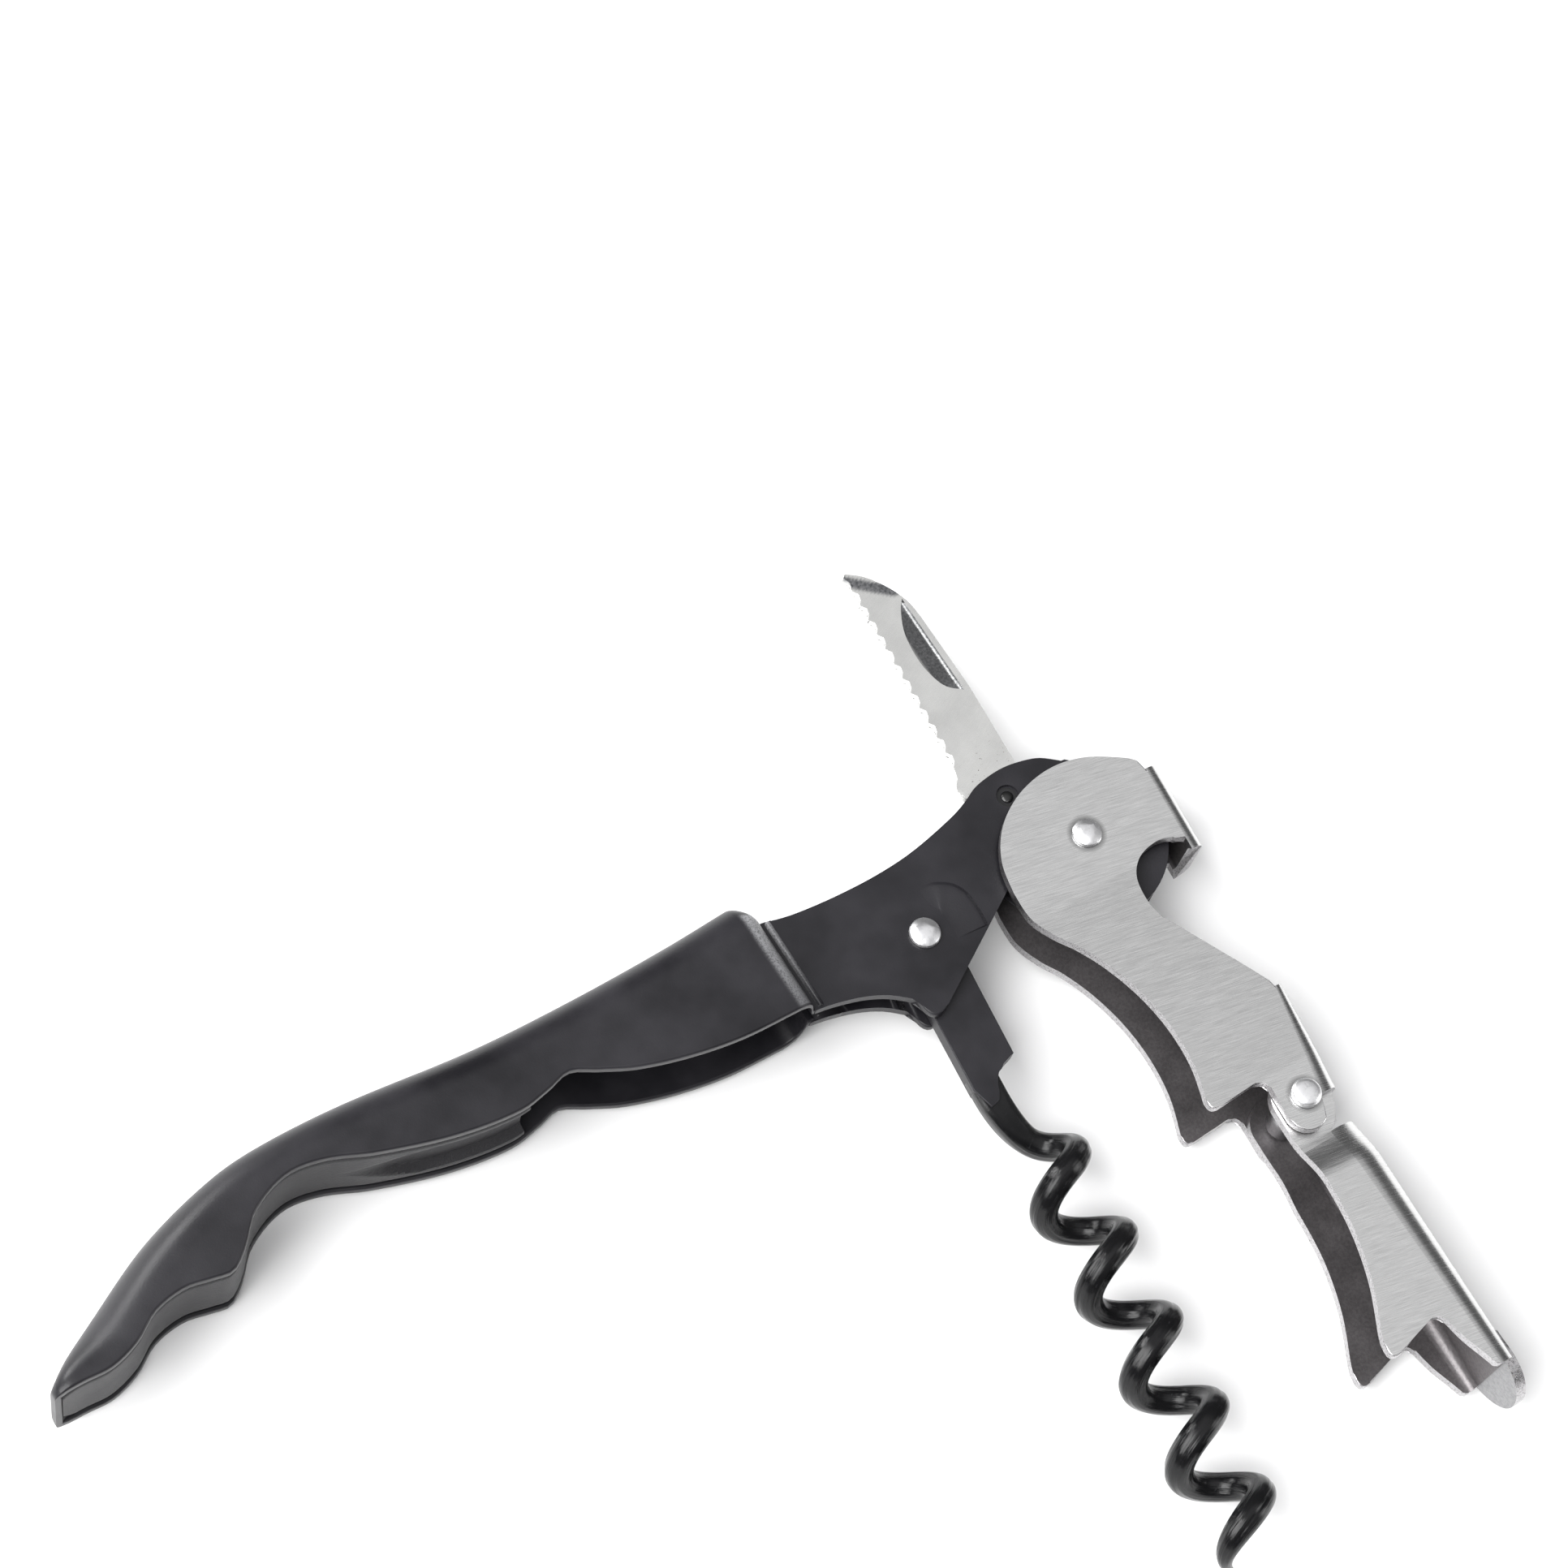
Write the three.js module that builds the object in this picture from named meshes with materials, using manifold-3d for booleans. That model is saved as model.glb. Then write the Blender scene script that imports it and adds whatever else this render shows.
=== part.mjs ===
// Double-hinged waiter's corkscrew, stored open and lying on its side.
// Millimetres, +Z up. The mechanism is drawn with the main pivot at the origin, +X from tail to head,
// +Y towards the back of the handle and the hinge axes along Z; it is then moved so that the middle of the
// underside of its box is the part's origin.
import * as THREE from "three";
import { ConvexGeometry } from "three/addons/geometries/ConvexGeometry.js";
import { mergeVertices } from "three/addons/utils/BufferGeometryUtils.js";
import Module from "manifold-3d";

const wasm = await Module();
wasm.setup();

// ---- Driving dimensions ----------------------------------------------------------------------------------
const HALF_WIDTH = 5.5; // half of the 11 mm outside width of grip and levers
const SHEET = 1.1; // pressed steel of the grip and both levers
const NECK_HALF = 2.1; // half of the outside width of the two cheeks of the neck
const NECK_SHEET = 1.0; // thickness of each cheek
const CAP_HALF = 3.7; // half of the outside width of the main lever at its round cap
const MAIN_PIVOT = [0, 0];
const JOINT_PIVOT = [2.3, -31.7]; // between main and second lever
const WORM_PIVOT = [-18.45, -0.45];
const BLADE_PIVOT = [-3.75, 7.3];
const MAIN_PIN_R = 1.25;
const JOINT_PIN_R = 1.2;
const WORM_PIN_R = 1.2;
const BLADE_PIN_R = 0.95;
const RUNNING = 0.08; // radial clearance of a pin in the hole it turns in
const HEAD_R = 1.42; // rivet heads
const HEAD_H = 0.8;
const BEND_R = 1.7; // outer radius of the bends of both levers
const SHOULDER_X = -33.9; // where the full-width grip ends
const NECK_X = -30.9; // where the cheeks have reached their narrow width
const TAIL_X = -107.8; // end of the grip
const INFILL_END_X = -59.2; // front end of the strip that closes the underside of the grip
const HEAD_DISC_R = 8.2; // round end of the cheeks about the main pivot
const BLADE_THICKNESS = 0.9;
const SHANK_THICKNESS = 1.9;
const WIRE_R = 1.33;
const HELIX_R = 2.85; // from the axis of the worm to the middle of its wire
const PITCH = 8.65;
const GAP = 0.05; // between parts that lie against each other
const ROUND = 24; // sides of a small round part

// Height of the back and of the belly rim of the grip, as [x, y] from tail to shoulder.
const BACK = [
  [-107.8, 1.05], [-105, 3.3], [-100.1, 6.3], [-94, 9.25], [-86.5, 11.3], [-81, 11.75],
  [-73.5, 11.5], [-61, 10.2], [-51, 9.85], [-41, 9.95], [-33.9, 10.3],
];
const BELLY = [
  [-107.8, 0.2], [-105, 0.2], [-102.3, 0.1], [-99.4, 1.0], [-96.9, 2.55], [-93.8, 3.1], [-91.2, 2.6],
  [-89.4, 2.35], [-87.6, 3.6], [-85.3, 6.0], [-81.4, 7.6], [-77.8, 7.2], [-73.4, 5.4], [-66.6, 3.35],
  [-60.5, 2.5], [-57.2, 3.0], [-54.9, 3.5], [-52.6, 2.35], [-49.4, 0.8], [-44.5, -0.65], [-39.5, -1.5],
  [-33.9, -1.75],
];

// ---- Building blocks -------------------------------------------------------------------------------------
// A closed three.js geometry as a solid that can be joined and cut.
function solid(geometry) {
  const bare = geometry.clone();
  bare.deleteAttribute("normal");
  bare.deleteAttribute("uv");
  const merged = mergeVertices(bare, 1e-4);
  const mesh = new wasm.Mesh({
    numProp: 3,
    vertProperties: new Float32Array(merged.getAttribute("position").array),
    triVerts: new Uint32Array(merged.index.array),
  });
  return new wasm.Manifold(mesh);
}

function geometryOf(body) {
  const mesh = body.getMesh();
  const geometry = new THREE.BufferGeometry();
  geometry.setAttribute("position", new THREE.BufferAttribute(new Float32Array(mesh.vertProperties), 3));
  geometry.setIndex(new THREE.BufferAttribute(new Uint32Array(mesh.triVerts), 1));
  geometry.computeVertexNormals();
  return geometry;
}

const join = (...bodies) => bodies.reduce((all, body) => all.add(body));

const points = (list) => list.map(([x, y]) => new THREE.Vector2(x, y));
const shapeOf = (outline) => (outline instanceof THREE.Shape ? outline : new THREE.Shape(points(outline)));

// A plate with the given outline in the XY plane, from z = low to z = high.
function plate(outline, low, high) {
  const extrusion = new THREE.ExtrudeGeometry(shapeOf(outline), {
    depth: high - low, bevelEnabled: false, curveSegments: 10,
  });
  return solid(extrusion.translate(0, 0, low));
}

// The same plate on both sides of the middle plane, between z = inner and z = outer.
const twoPlates = (outline, inner, outer) =>
  plate(outline, inner, outer).add(plate(outline, -outer, -inner));

function cylinder([x, y], radius, low, high, sides = ROUND) {
  const drum = new THREE.CylinderGeometry(radius, radius, high - low, sides).rotateX(Math.PI / 2);
  return solid(drum.translate(x, y, (low + high) / 2));
}

function box([x0, y0, z0], [x1, y1, z1]) {
  const block = new THREE.BoxGeometry(x1 - x0, y1 - y0, z1 - z0);
  return solid(block.translate((x0 + x1) / 2, (y0 + y1) / 2, (z0 + z1) / 2));
}

// A body whose half width changes along X ("x") or Y ("y"): steps are [position, half width].
function envelope(axis, steps, reach = 150) {
  const outline = [...steps, ...steps.map(([at, half]) => [at, -half]).reverse()];
  const across = new THREE.ExtrudeGeometry(shapeOf(outline), { depth: 2 * reach, bevelEnabled: false });
  across.translate(0, 0, -reach);
  const [ex, ey, ez] = [new THREE.Vector3(1, 0, 0), new THREE.Vector3(0, 1, 0), new THREE.Vector3(0, 0, 1)];
  const turn = new THREE.Matrix4();
  if (axis === "x") turn.makeBasis(ex, ez, ey.clone().negate());
  else turn.makeBasis(ey, ez, ex);
  return solid(across.applyMatrix4(turn));
}

// A closed skin over rings that all have the same number of points, with flat ends.
function loft(rings) {
  const sides = rings[0].length;
  const positions = [];
  const index = [];
  rings.forEach((ring) => ring.forEach((p) => positions.push(p.x, p.y, p.z)));
  for (let i = 0; i + 1 < rings.length; i++) {
    for (let j = 0; j < sides; j++) {
      const [a, b] = [i * sides + j, i * sides + ((j + 1) % sides)];
      index.push(a, b, a + sides, b, b + sides, a + sides);
    }
  }
  [0, rings.length - 1].forEach((i) => {
    const middle = rings[i].reduce((sum, p) => sum.add(p), new THREE.Vector3()).divideScalar(sides);
    const centre = positions.length / 3;
    positions.push(middle.x, middle.y, middle.z);
    for (let j = 0; j < sides; j++) {
      const [a, b] = [i * sides + j, i * sides + ((j + 1) % sides)];
      index.push(centre, ...(i === 0 ? [b, a] : [a, b]));
    }
  });
  const geometry = new THREE.BufferGeometry();
  geometry.setAttribute("position", new THREE.Float32BufferAttribute(positions, 3));
  geometry.setIndex(index);
  const body = solid(geometry);
  if (body.volume() > 0) return body;
  return loft(rings.map((ring) => [...ring].reverse()));
}

// Smooth height at x of a line through [x, y] points.
function heightAt(points, x) {
  const last = points.length - 1;
  const k = Math.min(last - 1, Math.max(0, points.findIndex(([px]) => px > x) - 1));
  const at = (i) => points[Math.min(last, Math.max(0, i))];
  const slope = (i) => (at(i + 1)[1] - at(i - 1)[1]) / (at(i + 1)[0] - at(i - 1)[0]);
  const [x0, y0] = at(k);
  const [x1, y1] = at(k + 1);
  const [run, t] = [x1 - x0, Math.min(1, Math.max(0, (x - x0) / (x1 - x0)))];
  const [t2, t3] = [t * t, t * t * t];
  return (
    (2 * t3 - 3 * t2 + 1) * y0 + (t3 - 2 * t2 + t) * run * slope(k) +
    (3 * t2 - 2 * t3) * y1 + (t3 - t2) * run * slope(k + 1)
  );
}

// Cross-section of the grip at x: a box from low to high, with rounded edges at the back and at the belly.
function section(x, low, high, half, backRadius, bellyRadius) {
  const steps = 5;
  const ring = [];
  const corner = (y, z, radius, from) => {
    for (let i = 0; i <= steps; i++) {
      const a = from + (i / steps) * (Math.PI / 2);
      ring.push(new THREE.Vector3(x, y + radius * Math.sin(a), z + radius * Math.cos(a)));
    }
  };
  const rb = Math.min(backRadius, (high - low) * 0.75, half * 0.9);
  const rl = Math.min(bellyRadius, (high - low) * 0.2);
  corner(high - rb, half - rb, rb, 0);
  corner(high - rb, rb - half, rb, Math.PI / 2);
  corner(low + rl, rl - half, rl, Math.PI);
  corner(low + rl, half - rl, rl, 1.5 * Math.PI);
  return ring;
}

// Places along the grip: closer together at the tail, where it curves most.
const gripStations = (from, to) => {
  const stations = [];
  for (let x = from; x < to - 0.6; x += x < -104 ? 0.8 : x < -86 ? 1.4 : 2.4) stations.push(x);
  return [...stations, to];
};
const TAIL_ROUND = 2.0; // length over which the tail narrows to its rounded end
const gripHalf = (x) => {
  const t = Math.max(0, (TAIL_X + TAIL_ROUND - x) / TAIL_ROUND);
  return HALF_WIDTH - 1.3 * (1 - Math.sqrt(1 - Math.min(1, t) ** 2));
};

// The room inside the rounded outer corners of a folded channel. rim follows the outer edge of its web as
// seen from the side, [x, y, half width]; the room has no other corners and runs on towards -X.
function roundedBend(rim, radius) {
  const steps = 5;
  const far = 40;
  const lengths = rim.slice(1).map((end, i) => {
    const cloud = [];
    [rim[i], end].forEach(([x, y, half]) => {
      for (let j = 0; j <= steps; j++) {
        const a = (j / steps) * (Math.PI / 2);
        const z = half - radius + radius * Math.sin(a);
        const out = x - radius + radius * Math.cos(a);
        cloud.push(new THREE.Vector3(out, y, z), new THREE.Vector3(out, y, -z));
      }
      const wide = half + 0.012 * far;
      cloud.push(new THREE.Vector3(x - far, y, wide), new THREE.Vector3(x - far, y, -wide));
    });
    return solid(new ConvexGeometry(cloud));
  });
  return join(...lengths);
}

function rivet([x, y], radius, reach, headRadius = HEAD_R, headHeight = HEAD_H) {
  const neck = reach + GAP;
  const half = [
    [radius, 0], [radius, neck], [headRadius, neck], [headRadius, neck + 0.3 * headHeight],
    [0.62 * headRadius, neck + 0.85 * headHeight], [0, neck + headHeight],
  ];
  const profile = [...half.slice(1).reverse().map(([r, z]) => [r, -z]), ...half.slice(1)];
  const lathe = new THREE.LatheGeometry(profile.map(([r, z]) => new THREE.Vector2(r, z)), 16);
  return solid(lathe.rotateX(Math.PI / 2).translate(x, y, 0));
}

function tube([x, y], inner, outer, low, high) {
  return cylinder([x, y], outer, low, high).subtract(cylinder([x, y], inner, low - 1, high + 1));
}

// ---- Handle ----------------------------------------------------------------------------------------------
const NECK_TOP = [
  [-31.4, 8.2], [-28.3, 7.2], [-23.8, 6.75], [-19.1, 6.65], [-14.8, 7.0], [-10, 8.0], [-7.74, 8.75],
];
// The cheeks bulge over the blade pivot and run on into the round end.
const BLADE_BULGE = [[-6.1, 9.5], [-4.3, 9.85], [-2.55, 9.93], [-0.8, 9.68], [1.15, 9.05], [3.05, 7.6]];

function neckOutline() {
  const shape = new THREE.Shape();
  shape.moveTo(...NECK_TOP[0]);
  shape.splineThru(points(NECK_TOP.slice(1)));
  shape.splineThru(points(BLADE_BULGE));
  shape.lineTo(0, 0);
  shape.lineTo(-8.2, 0.15);
  shape.lineTo(-20.3, -7.3);
  shape.quadraticCurveTo(-22.0, -8.35, -22.45, -6.9);
  shape.lineTo(-22.65, -5.55);
  shape.splineThru(points([[-24.6, -3.95], [-26.9, -2.85], [-29.6, -2.1], [-31.6, -1.8], [-34.2, -1.75]]));
  shape.lineTo(-34.2, 10.0);
  shape.lineTo(-33.4, 9.6);
  return shape;
}

// The space inside the grip, kept "clear" of its walls; it is open at the belly and at the shoulder.
function gripSpace(clear) {
  return loft(gripStations(TAIL_X + 1.6 + clear, SHOULDER_X + 3).map((x) => {
    const at = Math.min(x, SHOULDER_X);
    const roof = heightAt(BACK, at) - SHEET - 1.2 * clear;
    return section(x, heightAt(BELLY, at) - 6, roof, gripHalf(x) - SHEET - clear, 2.1, 0.1);
  }));
}

function gripShell() {
  const outer = loft(gripStations(TAIL_X, SHOULDER_X).map((x) =>
    section(x, heightAt(BELLY, x), heightAt(BACK, x), gripHalf(x), 3.2, 0.5)));
  return outer.subtract(gripSpace(0));
}

// The walls step in from the grip to the neck.
function shoulder() {
  const outline = [
    [SHOULDER_X - 0.3, -1.75], [NECK_X + 0.2, -1.8], [NECK_X + 0.2, 8.15], [SHOULDER_X + 0.8, 9.6],
    [SHOULDER_X, 10.4], [SHOULDER_X - 0.3, 10.4],
  ];
  const steps = (inset) => [
    [SHOULDER_X - 3, HALF_WIDTH - inset], [SHOULDER_X - 0.4 * inset, HALF_WIDTH - inset],
    [NECK_X - 0.4 * inset, NECK_HALF - inset], [NECK_X + 3, NECK_HALF - inset],
  ];
  const hollow = envelope("x", steps(NECK_SHEET)).intersect(box([-60, -20, -9], [0, 8.6, 9]));
  return plate(outline, -HALF_WIDTH, HALF_WIDTH).intersect(envelope("x", steps(0))).subtract(hollow);
}

function handleBody() {
  const cheekInner = NECK_HALF - NECK_SHEET;
  const neckRoot = box([NECK_X - 0.6, -12, -9], [30, 30, 9]);
  const cheeks = twoPlates(neckOutline(), cheekInner, NECK_HALF).intersect(neckRoot);
  const discs = cylinder(MAIN_PIVOT, HEAD_DISC_R, -NECK_HALF, NECK_HALF, 56)
    .subtract(cylinder(MAIN_PIVOT, HEAD_DISC_R + 1, -cheekInner, cheekInner));
  const pads = [1, -1].map((side) => cylinder([-17.4, -1.0], 4.5, 0, 0.25, 32)
    .translate([0, 0, side > 0 ? NECK_HALF - 0.01 : -NECK_HALF - 0.24]));
  const padArea = plate(neckOutline(), -4, 4);
  return join(gripShell(), shoulder(), cheeks, discs, ...pads.map((pad) => pad.intersect(padArea)))
    .subtract(cylinder(MAIN_PIVOT, MAIN_PIN_R + RUNNING, -9, 9))
    .subtract(cylinder(WORM_PIVOT, WORM_PIN_R + RUNNING, -9, 9))
    .subtract(cylinder(BLADE_PIVOT, BLADE_PIN_R + RUNNING, -9, 9));
}

// The strip that closes the underside of the grip, sunk a little below the rims and hollowed at its front
// end, where the tip of the worm lies.
function gripInfill() {
  const thickness = 1.6;
  const strip = loft(gripStations(TAIL_X + 1, INFILL_END_X).map((x) => {
    const low = heightAt(BELLY, x) + 0.45;
    return section(x, low, low + thickness, HALF_WIDTH, 0.2, 0.2);
  })).intersect(gripSpace(0.25));
  const trough = loft([0, 1, 2, 3, 4, 5, 6].map((i) => {
    const x = -75.5 + 2.9 * i;
    const grown = Math.sin((Math.min(i, 3) / 3) * (Math.PI / 2));
    const low = heightAt(BELLY, Math.min(x, INFILL_END_X)) + 0.45;
    return section(x, low - 2, low + 0.02 + 0.75 * grown, 0.6 + 2.0 * grown, 0.4, 0.1);
  }));
  return strip.subtract(trough);
}

// Leaf spring between the cheeks: it presses on the roots of the worm and the blade.
function backSpring() {
  const half = NECK_HALF - NECK_SHEET - 0.15;
  const leaf = [
    [-32.2, 3.3], [-8.8, 3.3], [-7.2, 2.4], [-6.5, 3.0],
    [-8.2, 4.4], [-30.6, 4.4], [-31.4, 6.6], [-32.2, 6.6],
  ];
  return plate(leaf, -half, half);
}

// ---- Levers ----------------------------------------------------------------------------------------------
const ELBOW = [6.85, -21.8]; // outer edge of the web of the arm
const ARM_END = [6.0, -32.5];
const HOOK_HIGH = [10.25, 2.6]; // outer edge of the bridge that forms the crown-cap hook
const HOOK_LOW = [9.55, -5.2];

const CAP_EDGE = [[7.5, 4.75], [4.2, 6.6], [0.6, 7.25], [-3.3, 6.5], [-6.6, 4.5], [-8.7, 1.6], [-9.5, -1.6]];
const ARM_EDGE = [
  [-9.55, -4.4], [-8.6, -6.9], [-7.2, -9.2], [-5.9, -12.2],
  [-4.9, -16], [-4.55, -20], [-4.95, -24], [-6.1, -27.6],
];

// Side view of the main lever: round cap, crown-cap notch, slanted arm, ear with the joint, first notch.
function mainOutline() {
  const shape = new THREE.Shape();
  shape.moveTo(9.45, 2.6);
  shape.splineThru(points(CAP_EDGE));
  shape.splineThru(points(ARM_EDGE));
  shape.quadraticCurveTo(-6.4, -28.7, -5.4, -28.7);
  shape.lineTo(-1.2, -28.5);
  shape.quadraticCurveTo(-0.1, -28.5, -0.15, -29.6);
  shape.lineTo(-0.4, -33.0);
  shape.absarc(1.55, -33.0, 1.95, Math.PI, 1.72 * Math.PI, false);
  shape.lineTo(5.0, -32.5);
  shape.lineTo(...ARM_END);
  shape.lineTo(...ELBOW);
  shape.lineTo(6.3, -21.0);
  shape.lineTo(1.35, -10.9);
  shape.splineThru(points([[1.05, -8.6], [1.6, -6.0], [3.15, -4.4], [5.4, -3.9], [8.0, -4.8]]));
  shape.lineTo(8.2, -6.1);
  shape.lineTo(9.1, -6.2);
  shape.lineTo(...HOOK_LOW);
  shape.lineTo(...HOOK_HIGH);
  return shape;
}

const CAP_END_Y = -5; // the side walls run parallel over the cap and flare from here to the first notch
const FLARE_END_Y = -28.6;
const mainWalls = (inset) => [
  [20, CAP_HALF - inset], [CAP_END_Y, CAP_HALF - inset],
  [FLARE_END_Y, HALF_WIDTH - inset], [-45, HALF_WIDTH - inset],
].reverse();

const along = ([x0, y0], [x1, y1], y) => x0 + ((y - y0) / (y1 - y0)) * (x1 - x0);

function mainLever() {
  const bridge = [[9.2, 2.8], [10.6, 2.8], [9.8, -5.4], [8.9, -7], [7.8, -7], [7.95, -5.0], [8.5, -4.9]];
  const hookBridge = plate(bridge, -9, 9);
  const armWeb = plate([[4.85, -40], [9, -40], [9, -21.0], [6.0, -21.0]], -9, 9);
  const hollow = envelope("y", mainWalls(SHEET)).subtract(hookBridge).subtract(armWeb);
  const hookRim = [[3.2, CAP_HALF], [CAP_END_Y, CAP_HALF], [-6.6, CAP_HALF + 0.13]]
    .map(([y, half]) => [along(HOOK_HIGH, HOOK_LOW, y), y, half]);
  const armRim = [[-21.6, 4.97], [FLARE_END_Y, HALF_WIDTH], [-45, HALF_WIDTH]]
    .map(([y, half]) => [along(ELBOW, ARM_END, y), y, half]);
  const bends = join(roundedBend(hookRim, 1.1), roundedBend(armRim, BEND_R),
    box([-30, 3.2, -9], [30, 30, 9]), box([-30, -21.6, -9], [30, -6.6, 9]));
  const body = plate(mainOutline(), -9, 9).intersect(envelope("y", mainWalls(0))).subtract(hollow)
    .intersect(bends);
  const tongue = plate([[5.45, -32.0], [5.35, -34.0], [6.15, -34.0], [6.25, -32.0]], -4.2, -0.4);
  const relief = box([3.9, -40, 0.6], [9, -31.9, 9]);
  const tongueRoot = box([4.0, -36, -9], [9, -32.3, -4.2]);
  return body.subtract(relief).subtract(tongueRoot).add(tongue)
    .subtract(cylinder(MAIN_PIVOT, MAIN_PIN_R + RUNNING, -9, 9))
    .subtract(cylinder(JOINT_PIVOT, JOINT_PIN_R + RUNNING, -9, 9));
}

const SECOND_TOP = [5.7, -36.6]; // outer edge of the web of the second lever
const LIP_ROOT = [4.8, -61.6];

// Side view of the second lever: round ear about the joint, curved inner edge, V notch, lip.
function secondOutline() {
  const shape = new THREE.Shape();
  const ear = 2.95;
  shape.absarc(...JOINT_PIVOT, ear, -0.7, Math.PI, false);
  shape.splineThru(points([[-0.75, -34.6], [-0.7, -38.5], [-1.3, -44], [-2.75, -49], [-4.9, -53.4]]));
  shape.quadraticCurveTo(-6.2, -56.2, -4.4, -55.9);
  shape.lineTo(-0.3, -54.6);
  shape.quadraticCurveTo(0.7, -54.4, 1.05, -55.4);
  shape.quadraticCurveTo(1.9, -58.9, 3.3, -61.6);
  shape.lineTo(...LIP_ROOT);
  shape.lineTo(...SECOND_TOP);
  shape.lineTo(5.6, -35.7);
  shape.lineTo(4.65, -35.1);
  return shape;
}

function secondLever() {
  const nested = HALF_WIDTH - SHEET - 0.12; // the ears lie inside the walls of the main lever
  const flare = [-35, -39.6];
  const walls = (inset) => [
    [-80, HALF_WIDTH - inset], [flare[1], HALF_WIDTH - inset],
    [flare[0], nested - inset], [-20, nested - inset],
  ];
  const web = plate([[4.64, -35.5], [9, -35.5], [9, -70], [3.4, -70]], -9, 9);
  const hollow = envelope("y", walls(SHEET)).subtract(web);
  const rim = [[-25, nested], [flare[0], nested], [flare[1], HALF_WIDTH], [-70, HALF_WIDTH]]
    .map(([y, half]) => [along(SECOND_TOP, LIP_ROOT, y), y, half]);
  const body = plate(secondOutline(), -9, 9).intersect(envelope("y", walls(0))).subtract(hollow)
    .intersect(roundedBend(rim, BEND_R));
  const lip = cylinder([0, 0], 4.3, 0, 1.1, 40).rotate([0, 90, 0]).translate([3.8, -60.4, 0])
    .intersect(box([3, -70, -9], [9, -59, 9]));
  return body.add(lip).subtract(cylinder(JOINT_PIVOT, JOINT_PIN_R + RUNNING, -9, 9));
}

// ---- Worm ------------------------------------------------------------------------------------------------
const WORM_ANGLE = THREE.MathUtils.degToRad(-96.5); // direction of the worm from its pivot
const WORM_AXIS_OFFSET = 1.28; // the helix axis runs beside the pivot
const FIRST_RIGHT = 23.55; // distance from the pivot at which the helix first reaches its outer side
const LAST_ANGLE = 9.3 * Math.PI;

// A point given along the worm, across it and in height.
function wormPoint(along, across, z) {
  const [c, s] = [Math.cos(WORM_ANGLE), Math.sin(WORM_ANGLE)];
  return new THREE.Vector3(WORM_PIVOT[0] + along * c - across * s, WORM_PIVOT[1] + along * s + across * c, z);
}

// The wire leaves the flat shank straight, dives below it and joins the helix; its tip is pointed.
function wormWire() {
  const straight = 0.98; // the wire starts this far to the tail side of the line through the pivot
  const run = [[14, 0, 0], [16.4, 0, 0], [18.3, 0.13, -0.4], [19.9, 0.78, -1.75]];
  const knots = run.map(([along, across, z]) => wormPoint(along, across - straight, z));
  const first = -Math.PI / 2;
  const steps = 78;
  for (let i = 0; i <= steps; i++) {
    const a = first + (i / steps) * (LAST_ANGLE - first);
    const along = FIRST_RIGHT + (PITCH * a) / (2 * Math.PI);
    knots.push(wormPoint(along, WORM_AXIS_OFFSET + HELIX_R * Math.cos(a), HELIX_R * Math.sin(a)));
  }
  const path = new THREE.CatmullRomCurve3(knots);
  const length = path.getLength();
  const count = 96;
  const sides = 10;
  const rings = [];
  let normal = new THREE.Vector3(0, 0, 1);
  for (let i = 0; i <= count; i++) {
    const [centre, tangent] = [path.getPointAt(i / count), path.getTangentAt(i / count)];
    const toTip = (length * (count - i)) / count / 7;
    const radius = WIRE_R * (toTip < 1 ? 0.1 + 0.9 * Math.sin((Math.PI / 2) * toTip) : 1);
    normal = normal.clone().addScaledVector(tangent, -normal.dot(tangent)).normalize();
    const side = tangent.clone().cross(normal);
    rings.push(Array.from({ length: sides }, (_, j) => {
      const b = ((j + 0.5) / sides) * 2 * Math.PI;
      const ringPoint = centre.clone().addScaledVector(normal, radius * Math.cos(b));
      return ringPoint.addScaledVector(side, radius * Math.sin(b));
    }));
  }
  return loft(rings);
}

function worm() {
  const at = (along, across) => {
    const p = wormPoint(along, across, 0);
    return new THREE.Vector2(p.x, p.y);
  };
  const outline = [];
  for (let i = 0; i <= 10; i++) {
    const a = Math.PI * (0.5 + i / 10);
    outline.push(at(2.9 * Math.cos(a), 2.9 * Math.sin(a)));
  }
  outline.push(at(4, -2.55), at(15.4, -2.4), at(16.4, -1.8), at(16.4, -0.4), at(15.2, 0.3), at(14.1, 1.5));
  outline.push(at(13.35, 2.7), at(4, 2.7));
  const half = SHANK_THICKNESS / 2;
  const settings = { depth: 2 * half, bevelEnabled: false };
  const extrusion = new THREE.ExtrudeGeometry(new THREE.Shape(outline), settings);
  return solid(extrusion.translate(0, 0, -half)).add(wormWire())
    .subtract(cylinder(WORM_PIVOT, WORM_PIN_R + RUNNING, -9, 9));
}

// ---- Foil blade ------------------------------------------------------------------------------------------
const TOOTH = 1.7; // pitch of the serration
const TEETH = 12;

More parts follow.
